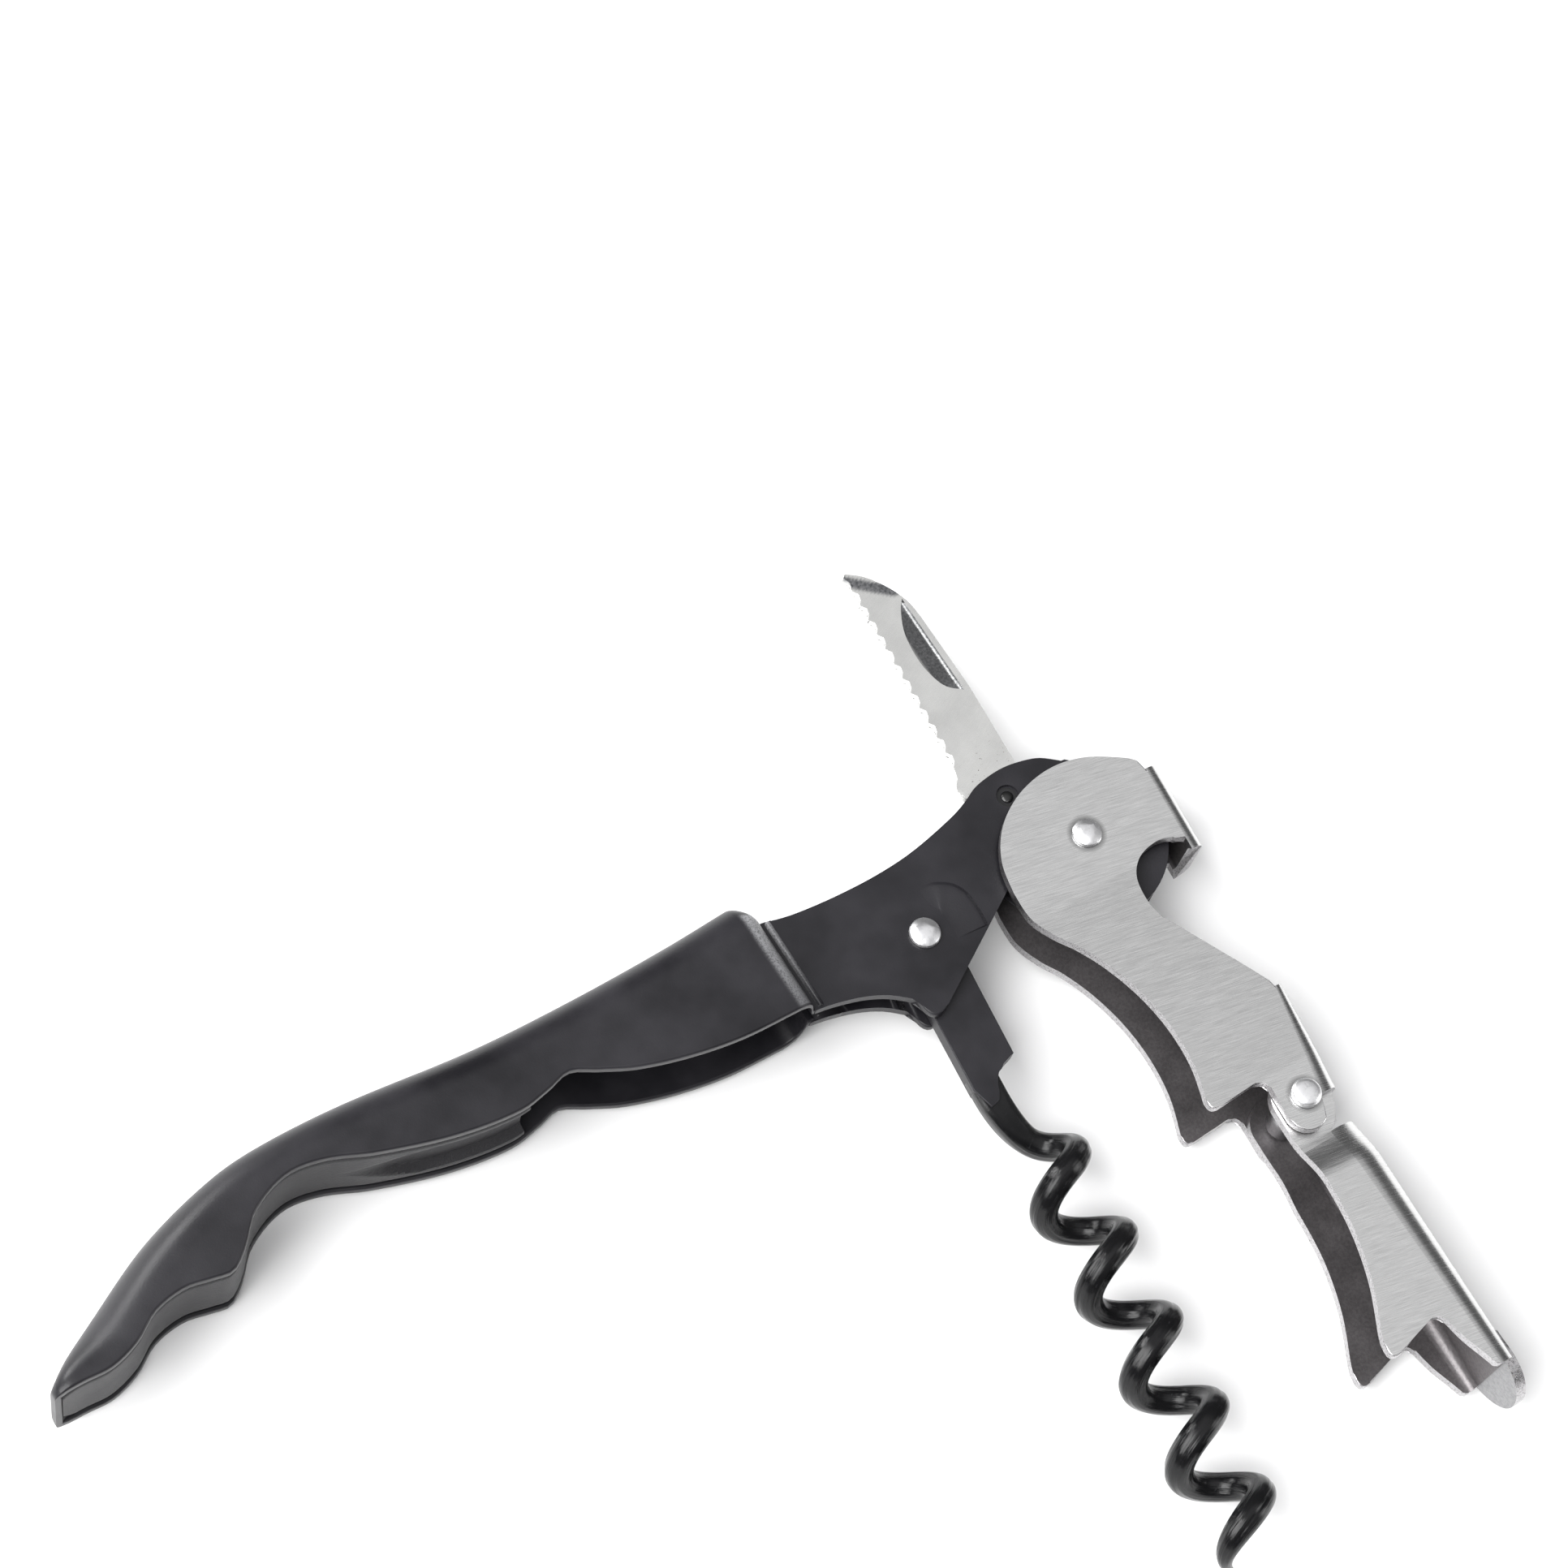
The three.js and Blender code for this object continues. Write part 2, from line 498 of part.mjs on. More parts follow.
function foilBlade() {
  const shape = new THREE.Shape();
  shape.moveTo(-0.55, 9.2);
  shape.lineTo(0.12, 19);
  shape.lineTo(0.1, 27.5);
  shape.splineThru(points([[-0.1, 29.5], [-1.0, 31.7], [-2.4, 33.7], [-3.95, 34.9]]));
  shape.lineTo(-4.35, 34.5);
  const [from, to] = [new THREE.Vector2(-4.4, 33.0), new THREE.Vector2(-6.0, 12.7)];
  for (let i = 0; i <= TEETH; i++) {
    const tip = from.clone().lerp(to, i / TEETH);
    const next = from.clone().lerp(to, (i + 0.35) / TEETH).add(new THREE.Vector2(0.42, 0));
    shape.lineTo(tip.x, tip.y);
    if (i < TEETH) {
      shape.lineTo(next.x, next.y);
      shape.lineTo(next.x - 0.05, next.y - 0.3 * TOOTH);
    }
  }
  shape.lineTo(-6.2, 11.6);
  shape.splineThru(points([[-6.85, 10.9], [-6.95, 9.9], [-5.9, 8.5]]));
  shape.absarc(...BLADE_PIVOT, 2.3, 2.7, 5.9, false);
  const half = BLADE_THICKNESS / 2;
  const nick = new THREE.Shape(); // nail nick, on one side only
  nick.moveTo(-0.45, 30.0);
  nick.lineTo(-0.5, 19.0);
  const reach = [[-1.83, 20.1], [-2.45, 21.7], [-2.68, 23.9], [-2.3, 26.7], [-1.3, 28.9], [-0.45, 30.0]];
  nick.splineThru(points(reach));
  return plate(shape, -half, half).subtract(plate(nick, half - 0.3, 2))
    .subtract(cylinder(BLADE_PIVOT, BLADE_PIN_R + RUNNING, -9, 9));
}

// ---- Assembly --------------------------------------------------------------------------------------------
function material(color, roughness, metalness) {
  return new THREE.MeshStandardMaterial({ color, roughness, metalness });
}
const blackCoat = material(0x232427, 0.5, 0.35);
const infillBlack = material(0x2b2c2f, 0.55, 0.1);
const brushed = material(0xb9b9b8, 0.35, 1);
const wormCoat = material(0x141416, 0.25, 0.2);
const bladeSteel = material(0xd6d6d4, 0.16, 1);
const rivetSteel = material(0xcfcfd0, 0.22, 1);
const springSteel = material(0x77787a, 0.4, 1);

const mechanism = new THREE.Group();
function place(name, body, finish, parent = mechanism) {
  const mesh = new THREE.Mesh(geometryOf(body), finish);
  mesh.name = name;
  parent.add(mesh);
}

const cheekGap = NECK_HALF - NECK_SHEET;
place("handle_body", handleBody(), blackCoat);
place("grip_infill", gripInfill(), infillBlack);
place("back_spring", backSpring(), springSteel);
place("main_pivot_rivet", rivet(MAIN_PIVOT, MAIN_PIN_R, CAP_HALF), rivetSteel);
const spacer = tube(MAIN_PIVOT, MAIN_PIN_R + RUNNING, 2.1, GAP - cheekGap, cheekGap - GAP);
place("main_pivot_spacer", spacer, rivetSteel);
["left", "right"].forEach((side, i) => {
  const sign = i === 0 ? 1 : -1;
  const washer = (pivot, inner, outer, low, high) => {
    const [a, b] = [sign * low, sign * high].sort((p, q) => p - q);
    return tube(pivot, inner, outer, a, b);
  };
  place(`main_pivot_washer_${side}`,
    washer(MAIN_PIVOT, MAIN_PIN_R + RUNNING, 3.0, NECK_HALF + GAP, CAP_HALF - SHEET - GAP), rivetSteel);
  place(`blade_washer_${side}`,
    washer(BLADE_PIVOT, BLADE_PIN_R + RUNNING, 1.9, BLADE_THICKNESS / 2 + GAP, cheekGap - GAP), rivetSteel);
});
place("worm_pivot_rivet", rivet(WORM_PIVOT, WORM_PIN_R, NECK_HALF + 0.25, 1.55, 0.7), rivetSteel);
place("blade_pivot_pin", cylinder(BLADE_PIVOT, BLADE_PIN_R, 0.35 - NECK_HALF, NECK_HALF - 0.35), springSteel);
place("main_lever", mainLever(), brushed);
place("lever_joint_rivet", rivet(JOINT_PIVOT, JOINT_PIN_R, HALF_WIDTH), rivetSteel);
place("lever_joint_spacer", tube(JOINT_PIVOT, JOINT_PIN_R + RUNNING, 1.6, -3.1, 3.1), springSteel);
place("second_lever", secondLever(), brushed);
place("worm", worm(), wormCoat);
place("foil_blade", foilBlade(), bladeSteel);

// The origin is the middle of the underside of the whole part's box.
const extent = new THREE.Box3().setFromObject(mechanism);
const middle = extent.getCenter(new THREE.Vector3());
mechanism.position.set(-middle.x, -middle.y, -extent.min.z);

const corkscrew = new THREE.Group();
corkscrew.add(mechanism);
export default corkscrew;
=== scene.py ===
"""Looks of the lever corkscrew: a waiter's corkscrew lying open on its side.

The mechanism is drawn in millimetres in one frame: origin on the main pivot, +X from tail to head, +Y towards
the back of the grip, +Z along the hinge axes, up. place() moves each piece from there into the row frame.
"""

import math

import bmesh
import bpy
import numpy as np
from mathutils import Matrix, Vector


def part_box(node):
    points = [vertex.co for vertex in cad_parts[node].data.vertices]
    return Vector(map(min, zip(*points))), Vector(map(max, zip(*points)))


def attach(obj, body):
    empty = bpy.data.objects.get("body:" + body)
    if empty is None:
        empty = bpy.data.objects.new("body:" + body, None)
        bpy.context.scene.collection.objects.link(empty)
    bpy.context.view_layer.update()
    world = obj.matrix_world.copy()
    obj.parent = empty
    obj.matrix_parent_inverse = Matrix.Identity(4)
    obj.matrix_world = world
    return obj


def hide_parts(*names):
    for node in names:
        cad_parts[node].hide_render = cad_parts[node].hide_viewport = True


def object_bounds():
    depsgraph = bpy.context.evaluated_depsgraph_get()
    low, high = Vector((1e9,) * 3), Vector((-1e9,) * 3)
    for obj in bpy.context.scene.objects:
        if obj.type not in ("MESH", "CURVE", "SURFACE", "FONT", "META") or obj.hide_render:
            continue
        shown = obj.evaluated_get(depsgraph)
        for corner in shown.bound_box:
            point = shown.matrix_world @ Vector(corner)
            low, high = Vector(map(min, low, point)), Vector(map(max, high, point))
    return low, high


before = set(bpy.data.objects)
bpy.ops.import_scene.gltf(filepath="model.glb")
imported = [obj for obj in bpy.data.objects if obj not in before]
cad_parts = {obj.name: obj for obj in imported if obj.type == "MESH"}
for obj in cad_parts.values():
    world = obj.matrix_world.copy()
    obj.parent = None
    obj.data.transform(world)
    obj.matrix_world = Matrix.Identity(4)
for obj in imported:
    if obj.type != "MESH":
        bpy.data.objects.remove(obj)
cad_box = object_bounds()

MM = 0.001


def middle(node):
    """Centre of a CAD node's box."""
    low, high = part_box(node)
    return (low + high) / 2


PIVOT = middle("main_pivot_rivet")  # row frame, metres


def in_mm(point):
    return (point - PIVOT) / MM


# ---- Sizes, mm -------------------------------------------------------------------------------------------
MAIN_PIVOT = (0.0, 0.0)
JOINT_PIVOT = tuple(in_mm(middle("lever_joint_rivet")))[:2]
WORM_PIVOT = tuple(in_mm(middle("worm_pivot_rivet")))[:2]
BLADE_PIVOT = tuple(in_mm(middle("blade_pivot_pin")))[:2]
HALF_WIDTH = 5.5
SHEET = 1.1  # thickness of the grip's and the levers' sheet metal
EDGE = 0.14  # rounding of cut edges of sheet metal
EDGE_STEPS = 3
NECK_HALF = 2.1
NECK_SHEET = 1.0
NECK_BACK_Y = 7.8
NECK_ROOT_X = -31.4  # the cheeks start here, inside the shoulder
CAP_HALF = 3.7
CAP_END_Y = -5.0
FLARE_END_Y = -28.6  # the main lever widens from the cap's end to here
HOOK_R = 1.5
TAIL_X = -107.8
SHOULDER_X = -33.9
NECK_X = -30.9
INFILL_END_X = -59.2
HEAD_DISC_R = 8.2
HEAD_R = 1.42  # rivet heads on the levers

BACK = [
    (-107.8, 1.05), (-105, 3.3), (-100.1, 6.3), (-94, 9.25), (-86.5, 11.3), (-81, 11.75),
    (-73.5, 11.5), (-61, 10.2), (-51, 9.85), (-41, 9.95), (-33.9, 10.3),
]
BELLY = [
    (-107.8, 0.2), (-105, 0.2), (-102.3, 0.1), (-99.4, 1.0), (-96.9, 2.55), (-93.8, 3.1), (-91.2, 2.6),
    (-89.4, 2.35), (-87.6, 3.6), (-85.3, 6.0), (-81.4, 7.6), (-77.8, 7.2), (-73.4, 5.4), (-66.6, 3.35),
    (-60.5, 2.5), (-57.2, 3.0), (-54.9, 3.5), (-52.6, 2.35), (-49.4, 0.8), (-44.5, -0.65), (-39.5, -1.5),
    (-33.9, -1.75),
]


# ---- Curves ----------------------------------------------------------------------------------------------
def height_at(points, x):
    """Smooth height at x of a line through (x, y) points."""
    last = len(points) - 1
    k = 0
    while k < last - 1 and points[k + 1][0] <= x:
        k += 1

    def slope(i):
        a, b = points[max(0, i - 1)], points[min(last, i + 1)]
        return (b[1] - a[1]) / (b[0] - a[0])

    (x0, y0), (x1, y1) = points[k], points[k + 1]
    run = x1 - x0
    t = min(1.0, max(0.0, (x - x0) / run))
    t2, t3 = t * t, t * t * t
    return (
        (2 * t3 - 3 * t2 + 1) * y0 + (t3 - 2 * t2 + t) * run * slope(k)
        + (3 * t2 - 2 * t3) * y1 + (t3 - t2) * run * slope(k + 1)
    )


def between(start, end, y):
    """x at height y of the straight line through two (x, y) points."""
    return start[0] + (y - start[1]) / (end[1] - start[1]) * (end[0] - start[0])


def smooth_step(t):
    """Goes smoothly from 0 to 1 while t does."""
    t = min(1.0, max(0.0, t))
    return t * t * (3 - 2 * t)


def stations(start, end, step=0.7):
    """Evenly spaced values from start to end, about step apart."""
    count = max(2, round((end - start) / step))
    return [start + (end - start) * k / count for k in range(count + 1)]


class Outline:
    """An outline of straight lines, arcs and smooth curves, as a list of (x, y)."""

    def __init__(self, *start):
        self.points = [tuple(p) for p in start]

    def line(self, *points):
        self.points += [tuple(p) for p in points]
        return self

    def curve(self, *points, per=7):
        """A smooth curve from the last point through the given ones."""
        p = [np.array(q, float) for q in [self.points[-1], *points]]
        p = [p[0], *p, p[-1]]
        for i in range(1, len(p) - 2):
            for k in range(1, per + 1):
                t = k / per
                a, b, c, d = p[i - 1], p[i], p[i + 1], p[i + 2]
                q = 0.5 * (2 * b + (c - a) * t + (2 * a - 5 * b + 4 * c - d) * t**2
                           + (3 * b - a - 3 * c + d) * t**3)
                self.points.append(tuple(q))
        return self

    def arc(self, centre, radius, start, end, steps=16):
        for k in range(steps + 1):
            a = start + (end - start) * k / steps
            self.points.append((centre[0] + radius * math.cos(a), centre[1] + radius * math.sin(a)))
        return self

    def round(self, corner, end, steps=6):
        """A quadratic curve to end that bends round corner."""
        a, b, c = (np.array(q, float) for q in (self.points[-1], corner, end))
        for k in range(1, steps + 1):
            t = k / steps
            self.points.append(tuple((1 - t) ** 2 * a + 2 * t * (1 - t) * b + t * t * c))
        return self


def tidy(points, least=0.02):
    """The same outline without points that fall together."""
    kept = []
    for p in points:
        if not kept or math.dist(p, kept[-1]) > least:
            kept.append(p)
    if math.dist(kept[0], kept[-1]) <= least:
        kept.pop()
    return kept


# ---- Meshes ----------------------------------------------------------------------------------------------
def place(name, bm, materials, body, replaced, smooth_angle=35):
    """Turns a bmesh in millimetres into an object in the row frame that rides on a CAD body."""
    bmesh.ops.recalc_face_normals(bm, faces=bm.faces)
    bm.transform(Matrix.Translation(PIVOT) @ Matrix.Scale(MM, 4))
    mesh = bpy.data.meshes.new(name)
    bm.to_mesh(mesh)
    bm.free()
    for material in materials:
        mesh.materials.append(material)
    for polygon in mesh.polygons:
        polygon.use_smooth = True
    mesh.set_sharp_from_angle(angle=math.radians(smooth_angle))
    obj = bpy.data.objects.new(name, mesh)
    bpy.context.scene.collection.objects.link(obj)
    weighted = obj.modifiers.new("weighted", "WEIGHTED_NORMAL")
    weighted.keep_sharp = True
    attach(obj, body)
    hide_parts(*replaced)


def merge(target, *others):
    """Adds other bmeshes to target."""
    for other in others:
        scratch = bpy.data.meshes.new("scratch")
        other.to_mesh(scratch)
        other.free()
        target.from_mesh(scratch)
        bpy.data.meshes.remove(scratch)
    return target


def plate(outline, low, high, edge=EDGE, plain=None):
    """A plate with rounded rims. Rims where plain(a, b) is true, given both ends of the edge, stay square."""
    bm = bmesh.new()
    outline = tidy(outline)
    rows = [[bm.verts.new((x, y, z)) for x, y in outline] for z in (low, high)]
    count = len(outline)
    bm.faces.new(rows[0][::-1])
    bm.faces.new(rows[1])
    rims = []
    for i in range(count):
        j = (i + 1) % count
        bm.faces.new((rows[0][i], rows[0][j], rows[1][j], rows[1][i]))
        if plain is None or not plain(outline[i], outline[j]):
            rims += [bm.edges.get((row[i], row[j])) for row in rows]
    if edge > 0:
        bmesh.ops.bevel(bm, geom=rims, offset=edge, segments=EDGE_STEPS, profile=0.5, affect="EDGES",
                        clamp_overlap=False)
    bmesh.ops.recalc_face_normals(bm, faces=bm.faces)
    return bm


def cut_across(bm, position, direction):
    """Adds edges where the plane through position, square to direction, meets the mesh."""
    geometry = bm.verts[:] + bm.edges[:] + bm.faces[:]
    bmesh.ops.bisect_plane(bm, geom=geometry, plane_co=position, plane_no=direction)


def bend_sheet(bm, cuts, lift):
    """Folds a flat plate: cuts it at each y in cuts and raises every point by lift(y)."""
    for y in cuts:
        cut_across(bm, (0, y, 0), (0, 1, 0))
    for vert in bm.verts:
        vert.co.z += lift(vert.co.y)
    return bm


def mirrored(bm):
    """A copy on the other side of the middle plane."""
    copy = bm.copy()
    copy.transform(Matrix.Scale(-1, 4, (0, 0, 1)))
    bmesh.ops.reverse_faces(copy, faces=copy.faces)
    return copy


def loft(rings, material_of=None):
    """A solid skinned over rings of (x, y, z) points; material_of gives the slot of the i-th face round."""
    bm = bmesh.new()
    rows = [[bm.verts.new(p) for p in ring] for ring in rings]
    count = len(rings[0])
    for a, b in zip(rows, rows[1:]):
        for i in range(count):
            j = (i + 1) % count
            face = bm.faces.new((a[i], a[j], b[j], b[i]))
            if material_of:
                face.material_index = material_of(i)
    bm.faces.new(rows[0][::-1])
    bm.faces.new(rows[-1])
    bmesh.ops.recalc_face_normals(bm, faces=bm.faces)
    return bm


def round_part(centre, profile, sides=48):
    """A solid of revolution about a hinge axis; profile is (radius, z) from axis to axis."""
    rings = [[(centre[0] + r * math.cos(a), centre[1] + r * math.sin(a), z)
              for a in (2 * math.pi * k / sides for k in range(sides))]
             for r, z in profile]
    return loft(rings)


def difference(bm, *cutters):
    """bm with the cutters taken away."""
    def as_object(mesh_data):
        mesh = bpy.data.meshes.new("cut")
        mesh_data.to_mesh(mesh)
        mesh_data.free()
        obj = bpy.data.objects.new("cut", mesh)
        bpy.context.scene.collection.objects.link(obj)
        return obj

    body = as_object(bm)
    tools = [as_object(c) for c in cutters]
    for tool in tools:
        modifier = body.modifiers.new("cut", "BOOLEAN")
        modifier.operation = "DIFFERENCE"
        modifier.solver = "EXACT"
        modifier.object = tool
    depsgraph = bpy.context.evaluated_depsgraph_get()
    result = bmesh.new()
    result.from_mesh(body.evaluated_get(depsgraph).to_mesh())
    for obj in [body, *tools]:
        bpy.data.objects.remove(obj)
    return result


# ---- Materials -------------------------------------------------------------------------------------------
class Nodes:
    """Small helper for building a material's nodes."""

    def __init__(self, name):
        self.material = bpy.data.materials.new(name)
        self.material.use_nodes = True
        self.tree = self.material.node_tree
        self.shader = self.tree.nodes["Principled BSDF"]

    def new(self, kind, **values):
        node = self.tree.nodes.new(kind)
        for key, value in values.items():
            if key in node.inputs:
                node.inputs[key].default_value = value
            else:
                setattr(node, key, value)
        return node

    def link(self, source, target):
        self.tree.links.new(source, target)

    def position(self, scale=(1, 1, 1), turn=0.0):
        """Object coordinates, turned about Z and then scaled per axis."""
        source = self.new("ShaderNodeTexCoord")
        mapping = self.new("ShaderNodeMapping", vector_type="TEXTURE")
        mapping.inputs["Rotation"].default_value = (0, 0, math.radians(turn))
        mapping.inputs["Scale"].default_value = tuple(1 / value for value in scale)
        self.link(source.outputs["Object"], mapping.inputs["Vector"])
        return mapping.outputs["Vector"]

    def noise(self, vector, scale, detail=4.0, roughness=0.55):
        node = self.new("ShaderNodeTexNoise", Scale=scale, Detail=detail, Roughness=roughness)
        self.link(vector, node.inputs["Vector"])
        return node.outputs["Fac"]

    def span(self, value, low, high, from_low=0.3, from_high=0.7):
        node = self.new("ShaderNodeMapRange")
        node.inputs["From Min"].default_value = from_low
        node.inputs["From Max"].default_value = from_high
        node.inputs["To Min"].default_value = low
        node.inputs["To Max"].default_value = high
        self.link(value, node.inputs["Value"])
        return node.outputs["Result"]

    def mix(self, factor, a, b):
        node = self.new("ShaderNodeMix", data_type="RGBA")
        self.link(factor, node.inputs["Factor"])
        for key, value in (("A", a), ("B", b)):
            socket = [s for s in node.inputs if s.name == key and s.type == "RGBA"][0]
            if isinstance(value, tuple):
                socket.default_value = (*value, 1)
            else:
                self.link(value, socket)
        return [s for s in node.outputs if s.type == "RGBA"][0]

    def bump(self, value, distance, strength=1.0, under=None):
        node = self.new("ShaderNodeBump", Distance=distance, Strength=strength)
        self.link(value, node.inputs["Height"])
        if under:
            self.link(under, node.inputs["Normal"])
        return node.outputs["Normal"]

    def ring(self, point, radius, width):
        """1 within radius of a hinge axis through point, fading to 0 over width."""
        flat = self.new("ShaderNodeVectorMath", operation="MULTIPLY")
        self.link(self.position(), flat.inputs[0])
        flat.inputs[1].default_value = (1, 1, 0)
        away = self.new("ShaderNodeVectorMath", operation="DISTANCE")
        self.link(flat.outputs[0], away.inputs[0])
        away.inputs[1].default_value = (point[0], point[1], 0)
        return self.span(away.outputs["Value"], 1, 0, radius, radius + width)

    def attribute(self, name):
        return self.new("ShaderNodeAttribute", attribute_name=name).outputs["Fac"]

    def finish(self, color, roughness, normal=None, **fixed):
        self.link(color, self.shader.inputs["Base Color"])
        self.link(roughness, self.shader.inputs["Roughness"])
        if normal:
            self.link(normal, self.shader.inputs["Normal"])
        for key, value in fixed.items():
            self.shader.inputs[key.replace("_", " ")].default_value = value
        return self.material


def coating(name, dark, light, rough, grain, specular):
    """Satin coating: fine grain, cloudy roughness, and pale flecks where a painted vertex value says so:
    partly bare metal where the coating is worn, partly a painted highlight.
    """
    n = Nodes(name)
    where = n.position()
    clouds = n.noise(where, 140, detail=3)
    fine = n.noise(where, 5200, detail=2, roughness=0.7)
    tint = n.mix(n.span(clouds, 0, 1), dark, light)
    wear_and_sheen = n.attribute("wear_and_sheen")
    flecks = n.span(n.noise(where, 5600, detail=3, roughness=0.8), 0.15, 1, 0.30, 0.54)
    worn_and_lit = n.new("ShaderNodeMath", operation="MULTIPLY")
    n.link(wear_and_sheen, worn_and_lit.inputs[0])
    n.link(flecks, worn_and_lit.inputs[1])
    # pale fleck colour: worn coating, and painted highlight where the shoulder's ridge catches the light
    color = n.mix(worn_and_lit.outputs[0], tint, (0.30, 0.30, 0.31))
    normal = n.bump(fine, grain)
    return n.finish(color, n.span(clouds, rough - 0.05, rough + 0.06), normal, Specular_IOR_Level=specular)


def brushed(name, color_a, color_b, rough, dent_and_shade_rings):
    """Brushed stainless: streaks run nearly along X. Each ring entry is a (point, radius in mm) inside a
    darker ring round a rivet head: partly the hammered dent, partly painted contact shadow.
    """
    turn = -11.0
    n = Nodes(name)
    streaks = n.noise(n.position((420, 13000, 420), turn), 1.0, detail=5, roughness=0.65)
    broad = n.noise(n.position((60, 900, 60), turn), 1.0, detail=3)
    clouds = n.noise(n.position(), 160, detail=3)
    tone = n.mix(n.span(streaks, 0, 1, 0.34, 0.66), color_a, color_b)
    tone = n.mix(n.span(broad, 0, 0.12), tone, tuple(0.82 * c for c in color_a))
    # painted contact shadow round each rivet head, together with its dent: the steel darkened to half
    for point, radius in dent_and_shade_rings:
        tone = n.mix(n.ring(point, radius * MM, 0.55 * MM), tone, tuple(0.5 * c for c in color_a))
    roughness = n.new("ShaderNodeMath", operation="ADD")
    n.link(n.span(streaks, rough - 0.05, rough + 0.07), roughness.inputs[0])
    n.link(n.span(clouds, -0.02, 0.03), roughness.inputs[1])
    return n.finish(tone, roughness.outputs[0], n.bump(streaks, 0.000009), Metallic=1.0)


def speckled(name, bright, dark, rough, scale, metallic=1.0, share=(0.4, 0.6), depth=0.00003):
    """Cut or worn metal with small pits."""
    n = Nodes(name)
    where = n.position()
    pits = n.noise(where, scale, detail=4, roughness=0.75)
    color = n.mix(n.span(pits, 0, 1, *share), dark, bright)
    clouds = n.noise(where, 300, detail=3)
    return n.finish(color, n.span(clouds, rough - 0.05, rough + 0.08), n.bump(pits, depth), Metallic=metallic)


SATIN_BLACK = coating("satin_black", (0.0060, 0.0057, 0.0074), (0.0180, 0.0172, 0.0206), 0.37, 0.000012, 0.34)
INFILL_BLACK = coating("infill_black", (0.0105, 0.0101, 0.0118), (0.018, 0.0173, 0.0197), 0.48, 0.00007, 0.36)
BRUSHED = brushed("brushed_stainless", (0.54, 0.54, 0.537), (0.77, 0.77, 0.764), 0.22,
                  dent_and_shade_rings=[(PIVOT, 1.45), (middle("lever_joint_rivet"), 1.4)])
INSIDE_STEEL = speckled("inside_steel", (0.165, 0.155, 0.158), (0.125, 0.117, 0.120), 0.42, 3400,
                        metallic=0.85, depth=0.000015)
LIP_STEEL = speckled("lip_steel", (0.34, 0.34, 0.345), (0.27, 0.27, 0.275), 0.5, 2200, metallic=0.8,
                     depth=0.00001)
CUT_EDGE = speckled("cut_edge", (0.52, 0.51, 0.52), (0.16, 0.155, 0.155), 0.30, 5200, share=(0.36, 0.5))
RIVET_STEEL = speckled("rivet_steel", (0.86, 0.86, 0.87), (0.66, 0.66, 0.67), 0.36, 1500, share=(0.3, 0.5),
                       depth=0.00001)
SPRING_STEEL = speckled("spring_steel", (0.28, 0.28, 0.29), (0.16, 0.16, 0.16), 0.34, 1800, depth=0.00001)
DARK_STEEL = speckled("dark_turned_steel", (0.42, 0.42, 0.43), (0.28, 0.28, 0.285), 0.22, 900,
                      depth=0.000004)
# darker, glossier black for the blade pin: painted shade of the pit it sits in
PIT_SHADE_BLACK = coating("pit_shade_black", (0.004, 0.004, 0.004), (0.008, 0.008, 0.008), 0.25, 0.000006, 0.5)


def gloss_black():
    """Glossy black coating of the worm: the drawn wire leaves fine streaks along its flow coordinates."""
    n = Nodes("gloss_black")
    flow = n.new("ShaderNodeAttribute", attribute_name="flow")
    stretch = n.new("ShaderNodeVectorMath", operation="MULTIPLY")
    n.link(flow.outputs["Vector"], stretch.inputs[0])
    stretch.inputs[1].default_value = (0.16, 2.6, 2.6)
    streaks = n.noise(stretch.outputs[0], 1.0, detail=4, roughness=0.6)
    scratches = n.noise(n.position((900, 5200, 2600), 28), 1.0, detail=4, roughness=0.7)
    clouds = n.noise(n.position(), 420, detail=3)
    color = n.mix(n.span(scratches, 0, 1, 0.64, 0.8), (0.0055, 0.0055, 0.006), (0.035, 0.035, 0.038))
    roughness = n.new("ShaderNodeMath", operation="ADD")
    n.link(n.span(clouds, 0.07, 0.12), roughness.inputs[0])
    n.link(n.span(streaks, -0.02, 0.14, 0.45, 0.62), roughness.inputs[1])
    relief = n.bump(streaks, 0.00012, 0.9)
    return n.finish(color, roughness.outputs[0], n.bump(scratches, 0.000014, under=relief),
                    Specular_IOR_Level=0.27)


def blade_steel():
    """Pale polished steel: cloudy polish, a dark frosted bevel near the tip and rust specks near the root."""
    n = Nodes("blade_steel")
    where = n.position()
    clouds = n.noise(where, 260, detail=4)
    streaks = n.noise(n.position((700, 5000, 700), 24), 1.0, detail=4)
    tone = n.mix(n.span(clouds, 0, 1), (0.68, 0.68, 0.665), (0.80, 0.80, 0.78))
    frost = n.mix(n.span(n.noise(where, 4200, detail=3), 0, 1), (0.09, 0.095, 0.10), (0.30, 0.30, 0.31))
    tone = n.mix(n.attribute("frost"), tone, frost)
    specks = n.span(n.noise(where, 2300, detail=3, roughness=0.8), 0, 1, 0.64, 0.70)
    low = n.new("ShaderNodeMath", operation="MULTIPLY")
    n.link(specks, low.inputs[0])
    n.link(n.attribute("specks"), low.inputs[1])
    tone = n.mix(low.outputs[0], tone, (0.16, 0.13, 0.11))
    roughness = n.span(streaks, 0.20, 0.30)
    return n.finish(tone, roughness, n.bump(streaks, 0.000008), Metallic=1.0)


GLOSS_BLACK = gloss_black()
BLADE_STEEL = blade_steel()


def paint(bm, name, value):
    """Stores a value between 0 and 1 at every vertex for a material to read."""
    layer = bm.verts.layers.float.get(name) or bm.verts.layers.float.new(name)
    for vert in bm.verts:
        vert[layer] = value(vert.co)


